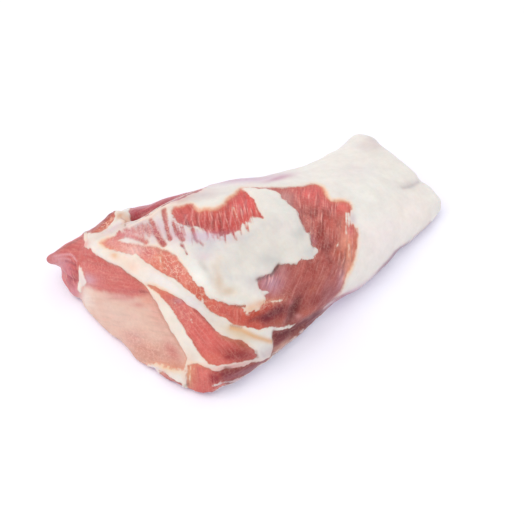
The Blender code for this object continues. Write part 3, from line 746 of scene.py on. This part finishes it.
FOLD_SPOTS = (
    (-118, 9, 14, 4, 20, "#DFCDC0"), (-114, 12, 7, 2.5, 20, "#D9C4C6"), (-113, 22, 3.5, 3, 0, "#D8AE90"),
    (-107.5, 18, 2.5, 4, 20, "#E6BC9C"), (-142, 6, 6, 4, 0, "#EAD8C4"), (-129, -4, 4, 5, 0, "#EFE4DA"),
    (-138, 7, 5, 3, -20, "#E6D2BC"), (-135, 1, 4, 3, 0, "#E5A898"), (-64, 36, 14, 4.5, 28, "#DCB8AA"),
    (-50, 38, 14, 5, 10, "#D6CAC4"), (-88, 20, 8, 3, 25, "#E4CBBB"),
)
FAR_SPOTS = (  # with the lilac skin along the top
    (-20, 54, 32, 3.5, 8, "#CDB2BA"), (8, 54.5, 14, 2.5, 15, "#C496A2"), (30, 58, 14, 8, 20, "#EAE5DA"),
    # the grey spot at (118, 52) is painted shade in the far crease
    (118, 52, 12, 4, 20, "#D9D2CA"), (60, 40, 10, 10, 0, "#E2DCD2"), (72, 62, 14, 8, 20, "#E4DBD4"),
    (92, 92, 6, 9, 30, "#D9CBC4"), (84, 88, 8, 8, 30, "#E0D7CE"), (112, 24, 10, 6, 0, "#EAE2CF"),
    (138, 40, 8, 12, 0, "#EFEBDE"), (75, 34, 22, 30, 0, "#EBE8DD"), (84, 6, 24, 14, 35, "#F3E9E0"),
    # the lilac spots at (95, -12), (30, -57), (60, -38), (12, -71) and (-25, -93) lie along the foot: partly
    # meat under the fat and partly painted shade
    (118, 28, 16, 14, 35, "#F5EBE0"), (95, -12, 30, 2.5, 38, "#D8C6C8"), (62, 20, 3, 6, 0, "#D9CECC"),
    (30, -57, 30, 2.5, 28, "#BFA2A8"), (-25, -93, 18, 4, 15, "#C9B2B8"), (60, -38, 14, 3, 28, "#B99AA6"),
    (12, -71, 14, 2.5, 22, "#BE9EA0"),
)
FAT_SPOTS = PATCH_SPOTS + FILM_SPOTS + BAND_SPOTS + FOLD_SPOTS + FAR_SPOTS
print("spots of fat:", len(FAT_SPOTS))

# %% Paint the fat
fat_tone = painted(FAT_BASE, (), FAT_SPOTS)
fat_tone = shade_hidden(fat_tone, "#E2D4CC", 26, 4.4)
print("fat painted, mean red:", round(float(fat_tone[:, 0].mean()), 2))

# %% [markdown]
# Some marks are lines: painted shade in a crease and beside a seam, a yellow vein in the fat.
# They go over fat and meat alike.

# %% Lines on the band, the seams and the patch: painted shade in creases, beside seams and in the patch's folds, and a yellow vein
BAND_MARKS_AND_SHADE_LINES = (  # path, half width, strength, tone
    (((-27, -56), (-20, -57.8), (-12, -62.3), (0, -67)), 1.7, 0.9, "#DFAE7C"),
    (((-82, -35), (-78, -43), (-71, -56), (-62, -71)), 0.9, 0.55, "#BF8E7C"),
    (((-104, -17), (-96, -22), (-88, -28.5)), 0.9, 0.5, "#A8564E"),
    (((-90, -32.5), (-84, -33.2)), 1.2, 0.7, "#9A463F"),
    (((-120, -9.5), (-112, -14), (-105, -16.5)), 0.9, 0.5, "#C08070"),
    (((-52, -44), (-44, -51), (-38, -58)), 0.9, 0.5, "#8E3E38"),
    (((-27, -54.5), (-20, -56)), 0.8, 0.6, "#A0604C"), (((-22, -42), (-18.5, -41.8)), 0.9, 0.7, "#9A6C50"),
    (((-31, -83.5), (-27, -84.2)), 0.9, 0.6, "#7C4A4A"), (((-59, -97), (-57, -96.5)), 0.9, 0.5, "#6E5C5C"),
    (((-10.5, -73), (-9.5, -78)), 0.9, 0.6, "#8C5A54"),
    (((1.5, -60), (2, -72), (1, -78)), 1.2, 0.6, "#8A6462"),
    (((-48, -13), (-44.5, -17)), 1.6, 0.35, "#C4BCB4"), (((-7, -74), (-5, -77)), 1.3, 0.3, "#B4A6A4"),
    (FAR_CREASE, 1.6, 0.4, "#B2A8A6"), (((5, 14), (0, 5), (2, -2), (-2, -9)), 3.4, 0.3, "#D3CDC6"),
    (((-20, -2), (-10, -8), (-3, -11), (6, -12)), 3.0, 0.3, "#CCC8C0"),
    (((-26, 2), (-18, 4), (-8, 12), (4, 18)), 2.8, 0.3, "#CDCAC4"),
    (((12, 30), (15, 20), (22, 8)), 3.0, 0.3, "#CFCCC6"),
    (((-47, -13), (-42.5, -19), (-38, -28)), 2.2, 0.35, "#CEC4B8"),
    (((-34.5, -10), (-36.5, -17), (-35, -26)), 2.6, 0.3, "#DAC6AE"),
    (((-30, -22), (-18, -24), (-10, -23)), 2.8, 0.3, "#CBCAC8"),
    (((-25.5, -34), (-24, -33)), 1.6, 0.4, "#F0E4CC"),
    (((-50, -2), (-38, -1), (-28, -6)), 3.0, 0.25, "#CECACC"),
    (((-101, 12.4), (-94, 17.2), (-86.5, 21), (-78, 28.5), (-70, 30.5)), 1.0, 0.7, "#F2E4D4"),
    (((0.5, -21.5), (2.5, -18.5), (5, -14.8)), 0.9, 0.9, "#4A3634"),
    (((-10, -24.5), (-7, -23.4)), 1.0, 0.6, "#8A7C76"),
)
print("lines on the fat:", len(BAND_MARKS_AND_SHADE_LINES))

# %% Lines on the meat: painted shade in the valleys and along the edges of the fat, the fringe before the fan and its pale threads
VALLEY_SHADE_LINES = (
    (RED_VALLEY, 2.8, 0.5, "#5E2422"), (((-14, -52), (-6, -49), (2, -48)), 1.2, 0.4, "#6A2024"),
    (((-9, -24), (-3, -22.3), (0.5, -21), (3, -17.5), (5, -14.5)), 1.1, 0.75, "#6E4644"),
    (((5, -14.5), (12, -14.4), (18, -14)), 0.9, 0.5, "#8A5C54"),
    (((38, -2), (41, -8), (44, -12)), 2.0, 0.4, "#84423C"),
    (((19, 25), (21, 18), (24, 11)), 0.9, 0.5, "#A06C70"),
    (((28, 9), (28, 4), (30, -2)), 0.9, 0.6, "#8C5C5C"),
    (((-62, 22), (-60, 16), (-57, 12)), 0.9, 0.5, "#8E4650"), (SIDE_NICK, 0.7, 0.8, "#6E4450"),
)
FAN_LINES = (
    (((-52, 10), (-51, 5)), 0.6, 0.5, "#B88890"), (((-45, 8), (-44, 3)), 0.6, 0.5, "#B88890"),
    (((-60.5, 22), (-62, 15)), 0.6, 0.7, "#E09088"), (((-57, 27), (-57, 18)), 0.6, 0.7, "#E09088"),
    (((-51.5, 26), (-51.5, 16)), 0.6, 0.7, "#E0908A"), (((-47.5, 24), (-47, 12)), 0.6, 0.6, "#DE8C84"),
    (((-42.5, 24), (-42, 11)), 0.6, 0.7, "#E09088"), (((-38.5, 22), (-38.5, 10)), 0.6, 0.6, "#E09088"),
    (((-33, 24), (-33.5, 12)), 0.7, 0.6, "#DE8C84"), (((-28, 28), (-29, 14)), 0.6, 0.7, "#E09690"),
    (((-23, 30), (-24.5, 18)), 0.7, 0.6, "#DE8A84"), (((-18, 34), (-20, 22)), 0.6, 0.6, "#E09690"),
    (((-45, 22), (-44.5, 11)), 0.9, 0.4, "#A8403C"), (((-30.5, 26), (-31, 13)), 0.9, 0.4, "#B0443E"),
    (((-54, 24), (-54.5, 14)), 0.9, 0.4, "#B0443E"), (((-20.5, 30), (-22, 19)), 0.9, 0.4, "#B84A44"),
)
print("lines on the meat:", len(VALLEY_SHADE_LINES + FAN_LINES))

# %% Lines on the flap, and along the foot of the trimmed side a thin line of meat with painted shade
FLAP_LINES = (  # pale edge of the fold, dark creases in the bundle, edge of the strap
    # the pale edge of the fold is partly membrane and partly painted highlight, the dark creases of the
    # bundle are painted shade, and the pale line along the strap from (-126, 10.5) is a painted highlight
    (((-164.4, -8.5), (-158.8, -7), (-152.2, -6.3), (-148.3, -8.6), (-146.3, -12.3)), 0.8, 0.75, "#DFA4A8"),
    (((-163.7, -10.4), (-156.9, -9.3), (-151.8, -10.6)), 0.6, 0.6, "#DC9EA2"),
    (((-156, -11.6), (-150, -12.8), (-147.4, -15)), 0.9, 0.75, "#983C46"),
    (BUNDLE_CREASE, 0.8, 0.6, "#A24650"), (BUNDLE_FOLD, 0.8, 0.6, "#A24650"),
    (((-157, -27), (-150, -31)), 0.7, 0.4, "#B05A62"),
    (((-165, -4.5), (-160.2, -1.3), (-152.5, 2.9), (-145, 7)), 0.7, 0.55, "#84504C"),
    (((-145, 9.8), (-139, 11), (-133, 12.6), (-127, 18.5), (-120, 27)), 1.0, 0.6, "#8A4648"),
    (((-126, 10.5), (-122, 15), (-118, 22)), 0.9, 0.3, "#E6B498"),
    (((-104.6, 14), (-105.8, 18)), 0.6, 0.6, "#8A4440"),
    (((-112, 20), (-108, 17.5), (-107, 14.5)), 0.5, 0.5, "#B4685C"),
    (((-137, 11.5), (-130, 9.2), (-124, 10.2)), 0.6, 0.3, "#A8645C"),
    (((-70, -94.5), (-77, -91)), 1.0, 0.5, "#B86A60"),
)
FOOT_MEAT_AND_SHADE_LINES = (
    (((3, -78.2), (9, -74.4), (15, -70.8), (21, -66.6), (28, -60.4), (34.6, -54.8)), 1.3, 0.75, "#7C4854"),
    (((50, -44), (57.7, -39.2), (64, -36.2), (69, -33.2), (74.4, -29.6), (79.5, -25.3), (90, -15.6),
      (95.4, -10.2), (101, -5.2), (108.3, -1.4), (116, 3.4), (121, 8.4), (130, 15), (136, 20.5)),
      1.8, 0.6, "#A67E90"),
    (((86, -18.8), (95.4, -10.1), (101, -5), (108.3, -1.3), (114, 2.2)), 1.7, 0.4, "#94707F"),
    (((44, -50), (50, -44.5), (57.7, -39.6), (64, -36.5)), 1.6, 0.7, "#9A5660"),
)
LINES = BAND_MARKS_AND_SHADE_LINES + VALLEY_SHADE_LINES + FAN_LINES + FLAP_LINES + FOOT_MEAT_AND_SHADE_LINES
for path, half_width, strength, colour in LINES:
    share = (strength * faces_drawing * hump(distance_to_path(drawn, path), half_width))[:, None]
    lean_tone += share * (linear(colour) - lean_tone)
    fat_tone += share * (linear(colour) - fat_tone)
print("lines:", len(LINES))

# %% [markdown]
# ## Membrane and thin fat
#
# Over parts of the muscle lies silverskin, a thin tough membrane that turns red meat lilac. In
# front of the fan the fat is only a film: the muscle shows through it in streaks along its fibres.

# %% Where membrane and thin fat lie
VEIL = spotted(0.0, (
    (0, -27, 9, 8, 0, 0.4), (-20, 52, 34, 5, 8, 0.5), (62, -37, 14, 4, 30, 0.8), (48, -45, 10, 4, 40, 0.7),
    (-48, 6, 16, 3, 0, 0.6), (-14, -87, 10, 2, 14, 0.2), (-73, 34, 5, 3, 25, 0.5), (-58, 40, 8, 3, 20, 0.1),
    (-88, 35, 14, 3, 20, 0.06), (-134, -26, 8, 4, 0, 0.3), (-160, -16, 8, 8, 0, 0.3),
    (52, -30, 3, 12, 0, 0.35),
))
hidden_veil = 0.6 * smooth(0.3 + 1.3 * lumps(at, 18, 9.2)) * smooth((normals[:, 0] + 0.5) / 0.4)
VEIL += (1 - faces_drawing) * (1 - thin_end) * hidden_veil
THIN = spotted(0.0, (
    (-88, 10, 14, 7, -10, 0.6), (-64, 6, 10, 8, 0, 0.46), (-50, 1, 8, 5, 0, 0.42), (-103, 7, 9, 4, 20, 0.72),
    (-58, -2, 6, 5, 0, 0.3), (-34, 3, 16, 4, 0, 0.4), (-78, 23, 6, 6, 0, 0.4),
))
print("membrane over", round(100 * (VEIL > 0.2).mean()), "% of the surface")

# %% [markdown]
# The pale strands between the bundles show most where a muscle is bared along its length, and
# least on the cut end. Fine marbling, thin crooked threads of fat with flecks that are partly
# painted glints, runs through the strip and the wedge.

# %% Where strands and marbling show
GRAINY = spotted(0.22, (
    (-45, 18, 30, 12, 0, 0.8), (-18, 30, 10, 12, -60, 0.75), (36, 30, 26, 16, 0, 0.6),
    (56, -2, 10, 24, 0, 0.9), (32, -10, 18, 18, 0, 0.36), (-95, 25, 16, 5, 25, 0.35),
    (-64, 39, 14, 5, 25, 0.6), (10, -46, 14, 7, 10, 0.2), (2, -25, 8, 8, 0, 1.0),
    (-110, -50, 50, 30, -20, 0.12), (-152, -22, 7, 16, 0, 0.5), (-90, 3, 20, 6, -10, 0.5),
    (-36, -88, 16, 6, 0, 0.15), (8, -49, 26, 8, 12, 0.03), (26, -24, 20, 9, 0, 0.14),
    (14, -65, 16, 5, 22, 0.08), (-28, -72, 16, 8, -25, 0.1),
))
GRAINY += thin_end * (0.1 - GRAINY)
VEINED = spotted(0.12, (
    (-66, -16, 18, 8, -35, 1.0), (-45, -38, 12, 6, -40, 0.7), (-82, 10, 20, 9, -10, 0.7),
    (-122, 16, 8, 6, 0, 1.1), (-95, -2, 20, 6, -10, 0.8), (-60, -46, 14, 9, -50, 0.35),
    (30, 12, 10, 20, 0, 0.22), (30, -12, 16, 12, 0, 0.15), (-2, -41, 12, 3, 20, 0.6),
    (-88, -70, 26, 14, -20, 0.5), (-125, -14, 24, 8, -10, 0.25),
))
VEINED += thin_end * (0.4 - VEINED)
GRAINY *= 1 + 0.9 * lumps(at, 13, 3.6)
GRAINY *= 1 - 0.7 * (1 - faces_drawing) * smooth((-normals[:, 0] - 0.2) / 0.3)
print("strands:", round(float(GRAINY.min()), 2), "to", round(float(GRAINY.max()), 2))

# %% [markdown]
# ## Handing the values to the material
#
# A mesh can carry named values at its points, and a material can read them by name. The renderer
# blends them across each face, so borders stay smooth between points.

# %% Store the values on the mesh
VALUES = {
    "grainy": GRAINY, "veined": VEINED, "lean": lean, "soft": SOFT, "threads": THREADS, "torn": TORN,
    "glow": GLOW, "veil": VEIL, "thin": THIN,
}


def store(name, kind, field, numbers):
    """Keeps one value for each point on the mesh, under a name."""
    data = body.data.attributes.new(name, kind, "POINT").data
    data.foreach_set(field, numbers.astype(np.float32).ravel())


for name, value in VALUES.items():
    store(name, "FLOAT", "value", value)
store("fibre", "FLOAT_VECTOR", "vector", fibre)
for name, tone in (("lean_tone", lean_tone), ("fat_tone", fat_tone)):
    store(name, "FLOAT_COLOR", "color", np.column_stack([tone, np.ones(len(tone))]))
print("values on each point:", [a.name for a in body.data.attributes if not a.name.startswith(".")])


# %% [markdown]
# ## The material
#
# Raw pork: wet muscle and firm fat, as the knife left them. Both are mostly water with a film of
# moisture, so the index of refraction is near that of water, and the shine is broad on the fat and
# tighter on the meat. Light goes a few millimetres into both before it comes back, red furthest.
#
# Everything is built by one helper that adds a node, sets it and links it, and gives back the
# socket that comes out.


# %% A helper for nodes
def add(kind, inputs=(), out=0, **settings):
    """Adds a node, with its settings, and a value or another node's socket for each named input."""
    node = tree.nodes.new("ShaderNode" + kind)
    for name, value in settings.items():
        setattr(node, name, value)
    for name, value in dict(inputs).items():
        if isinstance(value, bpy.types.NodeSocket):
            tree.links.new(value, node.inputs[name])
        else:
            node.inputs[name].default_value = value
    return node.outputs[out] if node.outputs else node


raw_pork = bpy.data.materials.new("raw_pork_fat_and_lean")
raw_pork.use_nodes = True
tree = raw_pork.node_tree
tree.nodes.clear()
A, B = 6, 7  # the colour inputs of a Mix node
MIXED = 2  # and its colour output


def rgba(colour):
    return (*linear(colour), 1)


# %% What the mesh says
said = {name: add("Attribute", attribute_name=name, out="Fac") for name in VALUES}
lean_says = add("Attribute", attribute_name="lean_tone", out="Color")
fat_says = add("Attribute", attribute_name="fat_tone", out="Color")
fibre_at = add("Attribute", attribute_name="fibre", out="Vector")
in_metres = add("TexCoord", out="Object")
place = add("VectorMath", {0: in_metres, "Scale": 1 / MM}, operation="SCALE")

# %% [markdown]
# Fibres are noise that is squeezed across the grain and stretched along it. Real fibres are about
# 0.05 mm thick, far too fine to show, so they are drawn as the bundles that the eye sees, near 1 mm.


# %% Patterns, in lumps and along the grain
def pattern(where, size, detail=2.0):
    """Noise from 0 to 1, squeezed so that its bumps have this size in mm in each direction."""
    squeezed = add("VectorMath", {0: where, 1: [1 / side for side in size]}, operation="MULTIPLY")
    return add("TexNoise", {"Vector": squeezed, "Scale": 1.0, "Detail": detail})


bundles = pattern(fibre_at, (2.8, 20, 1), 1)
strands = pattern(fibre_at, (1.5, 14, 1), 1.5)
threads = pattern(fibre_at, (1.4, 30, 1), 1)
films = pattern(fibre_at, (2.4, 22, 1), 2)
grain = pattern(place, (2.2, 2.2, 2.2), 3)
patches = pattern(place, (9, 9, 9))
fields = pattern(place, (16, 16, 16), 3)
tears = pattern(place, (2.6, 2.6, 2.6), 3)
veins = pattern(place, (3.6, 3.6, 3.6), 3)
flecks_and_glints = pattern(fibre_at, (1.6, 4, 1), 1)
print("patterns made:", sum(node.type == "TEX_NOISE" for node in tree.nodes))

# %% [markdown]
# The border between fat and meat is the stored depth, pushed to and fro by small lumps where the
# fat is torn and by strands where it ends in threads. Where the fat is a film, streaks of meat show
# through it as well.

# %% Where lean meat shows
tear = add("Math", {0: tears, 1: 0.5}, operation="SUBTRACT")
torn = add("Math", {0: said["torn"], 1: 4.0}, operation="MULTIPLY")
pushed = add("Math", {0: tear, 1: torn, 2: said["lean"]}, operation="MULTIPLY_ADD")
comb = add("Math", {0: threads, 1: 0.5}, operation="SUBTRACT")
combed = add("Math", {0: said["threads"], 1: 2.5}, operation="MULTIPLY")
depth = add("Math", {0: comb, 1: combed, 2: pushed}, operation="MULTIPLY_ADD")
sharp_start = add("Math", {0: said["soft"], 1: -1.0}, operation="MULTIPLY")
lean_share = add("MapRange", {
    "Value": depth, "From Min": sharp_start, "From Max": said["soft"],
}, interpolation_type="SMOOTHSTEP")
film = add("Math", {0: films, 1: said["thin"]}, operation="ADD")
seen_through = add("MapRange", {
    "Value": film, "From Min": 0.9, "From Max": 1.16, "To Max": 0.8,
}, interpolation_type="SMOOTHSTEP")
meat_share = add("Math", {0: lean_share, 1: seen_through}, operation="MAXIMUM")

# %% [markdown]
# Lean meat is the stored tone, a little lighter and darker by soft clouds. Furrows between the
# bundles are painted darker, as shade, and pale strands of connective tissue cross it, both only
# where the grain shows.

# %% Colour of the lean: clouds, painted shade in the furrows, and strands
cloud = add("MapRange", {
    "Value": add("Math", {0: patches, 1: 0.6, 2: grain}, operation="MULTIPLY_ADD"),
    "From Min": 0.5, "From Max": 1.1, "To Min": -1.0, "To Max": 1.0,
})
sway = add("Math", {0: said["grainy"], 1: 0.16, 2: 0.01}, operation="MULTIPLY_ADD")
clouded = add("HueSaturation", {
    "Color": lean_says,
    "Value": add("Math", {0: cloud, 1: sway, 2: 1.0}, operation="MULTIPLY_ADD"),
})
furrow_shade = add("MapRange", {
    "Value": bundles, "From Min": 0.52, "From Max": 0.38,
}, interpolation_type="SMOOTHSTEP")
furrow_shaded = add("Mix", {
    "Factor": add("Math", {0: furrow_shade, 1: said["grainy"]}, operation="MULTIPLY", use_clamp=True),
    A: clouded,
    B: add("VectorMath", {0: clouded, "Scale": 0.68}, operation="SCALE"),
}, out=MIXED, data_type="RGBA")
gathered = add("MapRange", {"Value": patches, "From Min": 0.35, "From Max": 0.6, "To Min": 0.25})
strand = add("MapRange", {
    "Value": strands, "From Min": 0.48, "From Max": 0.7, "To Max": gathered,
}, interpolation_type="SMOOTHSTEP")
stranded = add("Mix", {
    "Factor": add("Math", {0: strand, 1: said["grainy"]}, operation="MULTIPLY", use_clamp=True),
    A: furrow_shaded,
    B: rgba("#EBAC9E"),
}, out=MIXED, data_type="RGBA")

# %% [markdown]
# Marbling is thin crooked threads of fat inside the muscle, drawn where a noise crosses its middle
# value, with small pale flecks between them, partly fat and partly painted glints of the wet surface.

# %% Colour of the lean: marbling and painted glints
middle = add("Math", {0: veins, 1: 0.5}, operation="SUBTRACT")
vein = add("MapRange", {
    "Value": add("Math", {0: middle}, operation="ABSOLUTE"),
    "From Min": 0.05, "From Max": 0.0, "To Max": 0.8,
}, interpolation_type="SMOOTHSTEP")
fleck_and_glint = add("MapRange", {
    "Value": flecks_and_glints, "From Min": 0.56, "From Max": 0.72, "To Max": 0.5,
}, interpolation_type="SMOOTHSTEP")
marks = add("Math", {0: vein, 1: fleck_and_glint}, operation="MAXIMUM")
lean_colour = add("Mix", {
    "Factor": add("Math", {0: marks, 1: said["veined"]}, operation="MULTIPLY", use_clamp=True),
    A: stranded,
    B: rgba("#F0C6B0"),
}, out=MIXED, data_type="RGBA")

# %% [markdown]
# Fat: the stored tone with a faint cloudiness. Near its border it is thin, and the meat below warms
# it to orange, on both sides of the line.

# %% Colour of the fat, and the glow of its thin edge
GLOW_OUT = -3.5  # mm over which the fat glows
GLOW_IN = 3.0  # and the meat
fat_cloud = add("Math", {0: patches, 1: fields}, operation="ADD")
cloudy = add("HueSaturation", {
    "Color": fat_says,
    "Value": add("MapRange", {
        "Value": add("Math", {0: tears, 1: 0.5, 2: fat_cloud}, operation="MULTIPLY_ADD"),
        "From Min": 0.95, "From Max": 1.55, "To Min": 0.93, "To Max": 1.025,
    }),
})
fat_glow = add("MapRange", {
    "Value": depth, "From Min": GLOW_OUT, "From Max": 0.0,
}, interpolation_type="SMOOTHSTEP")
warm_fat = add("Mix", {
    "Factor": add("Math", {0: fat_glow, 1: said["glow"]}, operation="MULTIPLY"),
    A: cloudy,
    B: rgba("#F0C8A2"),
}, out=MIXED, data_type="RGBA")
meat_glow = add("MapRange", {
    "Value": depth, "From Min": GLOW_IN, "From Max": 0.0, "To Max": 0.7,
}, interpolation_type="SMOOTHSTEP")
warm_lean = add("Mix", {
    "Factor": add("Math", {0: meat_glow, 1: said["glow"]}, operation="MULTIPLY"),
    A: lean_colour,
    B: rgba("#E59874"),
}, out=MIXED, data_type="RGBA")
bare = add("Mix", {"Factor": meat_share, A: warm_fat, B: warm_lean}, out=MIXED, data_type="RGBA")

# %% [markdown]
# Silverskin lies over both as a lilac film, thicker along its own threads.

# %% Veil of membrane
skin = add("MapRange", {"Value": bundles, "From Min": 0.3, "From Max": 0.7, "To Min": 0.45})
skinned = add("Mix", {
    "Factor": add("Math", {0: skin, 1: said["veil"]}, operation="MULTIPLY", use_clamp=True),
    A: bare,
    B: rgba("#D8BCCB"),
}, out=MIXED, data_type="RGBA")

# %% [markdown]
# The shine and the fine relief come last. Meat is wetter than fat, so it is smoother to light.

# %% Roughness, bump and the shader
roughness = add("MapRange", {
    "Value": add("Math", {0: meat_share, 1: grain}, operation="SUBTRACT"),
    "From Min": -0.7, "From Max": 0.7, "To Min": 0.56, "To Max": 0.36,
})
threaded = add("Math", {0: bundles, 1: strands}, operation="ADD")
on_meat = add("Math", {0: said["grainy"], 1: meat_share}, operation="MULTIPLY")
fibre_height = add("Math", {0: threaded, 1: on_meat}, operation="MULTIPLY")
fine_height = add("Math", {0: grain, 1: 0.3, 2: fibre_height}, operation="MULTIPLY_ADD")
fat_edge = add("Math", {0: lean_share, 1: -1.2, 2: fine_height}, operation="MULTIPLY_ADD")
bumped = add("Bump", {"Height": fat_edge, "Distance": 0.4 * MM, "Strength": 0.8})
shader = add("BsdfPrincipled", {
    "Base Color": skinned,
    "Roughness": roughness,
    "Normal": bumped,
    "IOR": 1.38,
    "Specular IOR Level": 0.4,
    "Subsurface Weight": 0.25,
    "Subsurface Radius": (1.0, 0.45, 0.3),
    "Subsurface Scale": 2.0 * MM,
    "Coat Weight": 0.06,
    "Coat Roughness": 0.22,
    "Coat IOR": 1.33,
})
add("OutputMaterial", {"Surface": shader})
body.data.materials.append(raw_pork)
print("material nodes:", len(tree.nodes))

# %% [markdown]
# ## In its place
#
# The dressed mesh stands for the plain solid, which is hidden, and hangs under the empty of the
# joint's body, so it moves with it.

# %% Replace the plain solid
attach(body, "root")
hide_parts("pork_loin")

# %% [markdown]
# ## The studio
#
# A pale floor, one large soft lamp from above the broad end, and an even pale sky, a touch blue, so
# that the shadows are lilac. Nothing else is in the room.

# %% Floor, lamp and sky
floor_mesh = bpy.data.meshes.new("floor")
reach = 3.0
corners = [(-reach, -reach, 0), (reach, -reach, 0), (reach, reach, 0), (-reach, reach, 0)]
floor_mesh.from_pydata(corners, [], [(0, 1, 2, 3)])
floor = bpy.data.objects.new("floor", floor_mesh)
bpy.context.scene.collection.objects.link(floor)
paper = bpy.data.materials.new("white_card")
paper.use_nodes = True
card = paper.node_tree.nodes["Principled BSDF"]
card.inputs["Base Color"].default_value = rgba("#F8F8F9")
card.inputs["Roughness"].default_value = 0.9
card.inputs["Specular IOR Level"].default_value = 0.1
# the card glows faintly though it is no lamp, a painted glow which fills the foot of the shadow with blue
card.inputs["Emission Color"].default_value = rgba("#98A0DC")
card.inputs["Emission Strength"].default_value = 0.14
floor_mesh.materials.append(paper)


def lamp(name, place, aim, size, power, colour):
    """A square soft lamp that looks at a point."""
    data = bpy.data.lights.new(name, "AREA")
    data.size = size
    data.energy = power
    data.color = linear(colour)
    thing = bpy.data.objects.new(name, data)
    bpy.context.scene.collection.objects.link(thing)
    thing.location = place
    thing.rotation_euler = (Vector(aim) - Vector(place)).to_track_quat("-Z", "Y").to_euler()
    return thing


lamp("key", (-1.35, 0.5, 2.75), (0, 0, 0.03), 2.2, 30, "#FFFAF2")
sky = bpy.data.worlds.new("sky")
sky.use_nodes = True
sky.node_tree.nodes["Background"].inputs["Color"].default_value = rgba("#F7F7FF")
sky.node_tree.nodes["Background"].inputs["Strength"].default_value = 0.93
bpy.context.scene.world = sky
bpy.context.scene.view_settings.view_transform = "Standard"

# %% [markdown]
# ## The camera
#
# It looks down by 45 degrees on the corner between the cut end and the trimmed side, square to the
# drawing plane, from a little over half a metre, through a 50 mm lens.

# %% Camera
CAMERA_REACH = 550
AIM = np.array((-36.5, -31, 30)) - MIDDLE
camera = bpy.data.objects.new("camera", bpy.data.cameras.new("camera"))
bpy.context.scene.collection.objects.link(camera)
camera.data.lens = 50
camera.data.sensor_width = 36
camera.data.clip_start = 0.01
camera.location = (AIM + OUTWARD * CAMERA_REACH) * MM
camera.rotation_euler = Vector(-OUTWARD).to_track_quat("-Z", "Y").to_euler()
bpy.context.scene.camera = camera
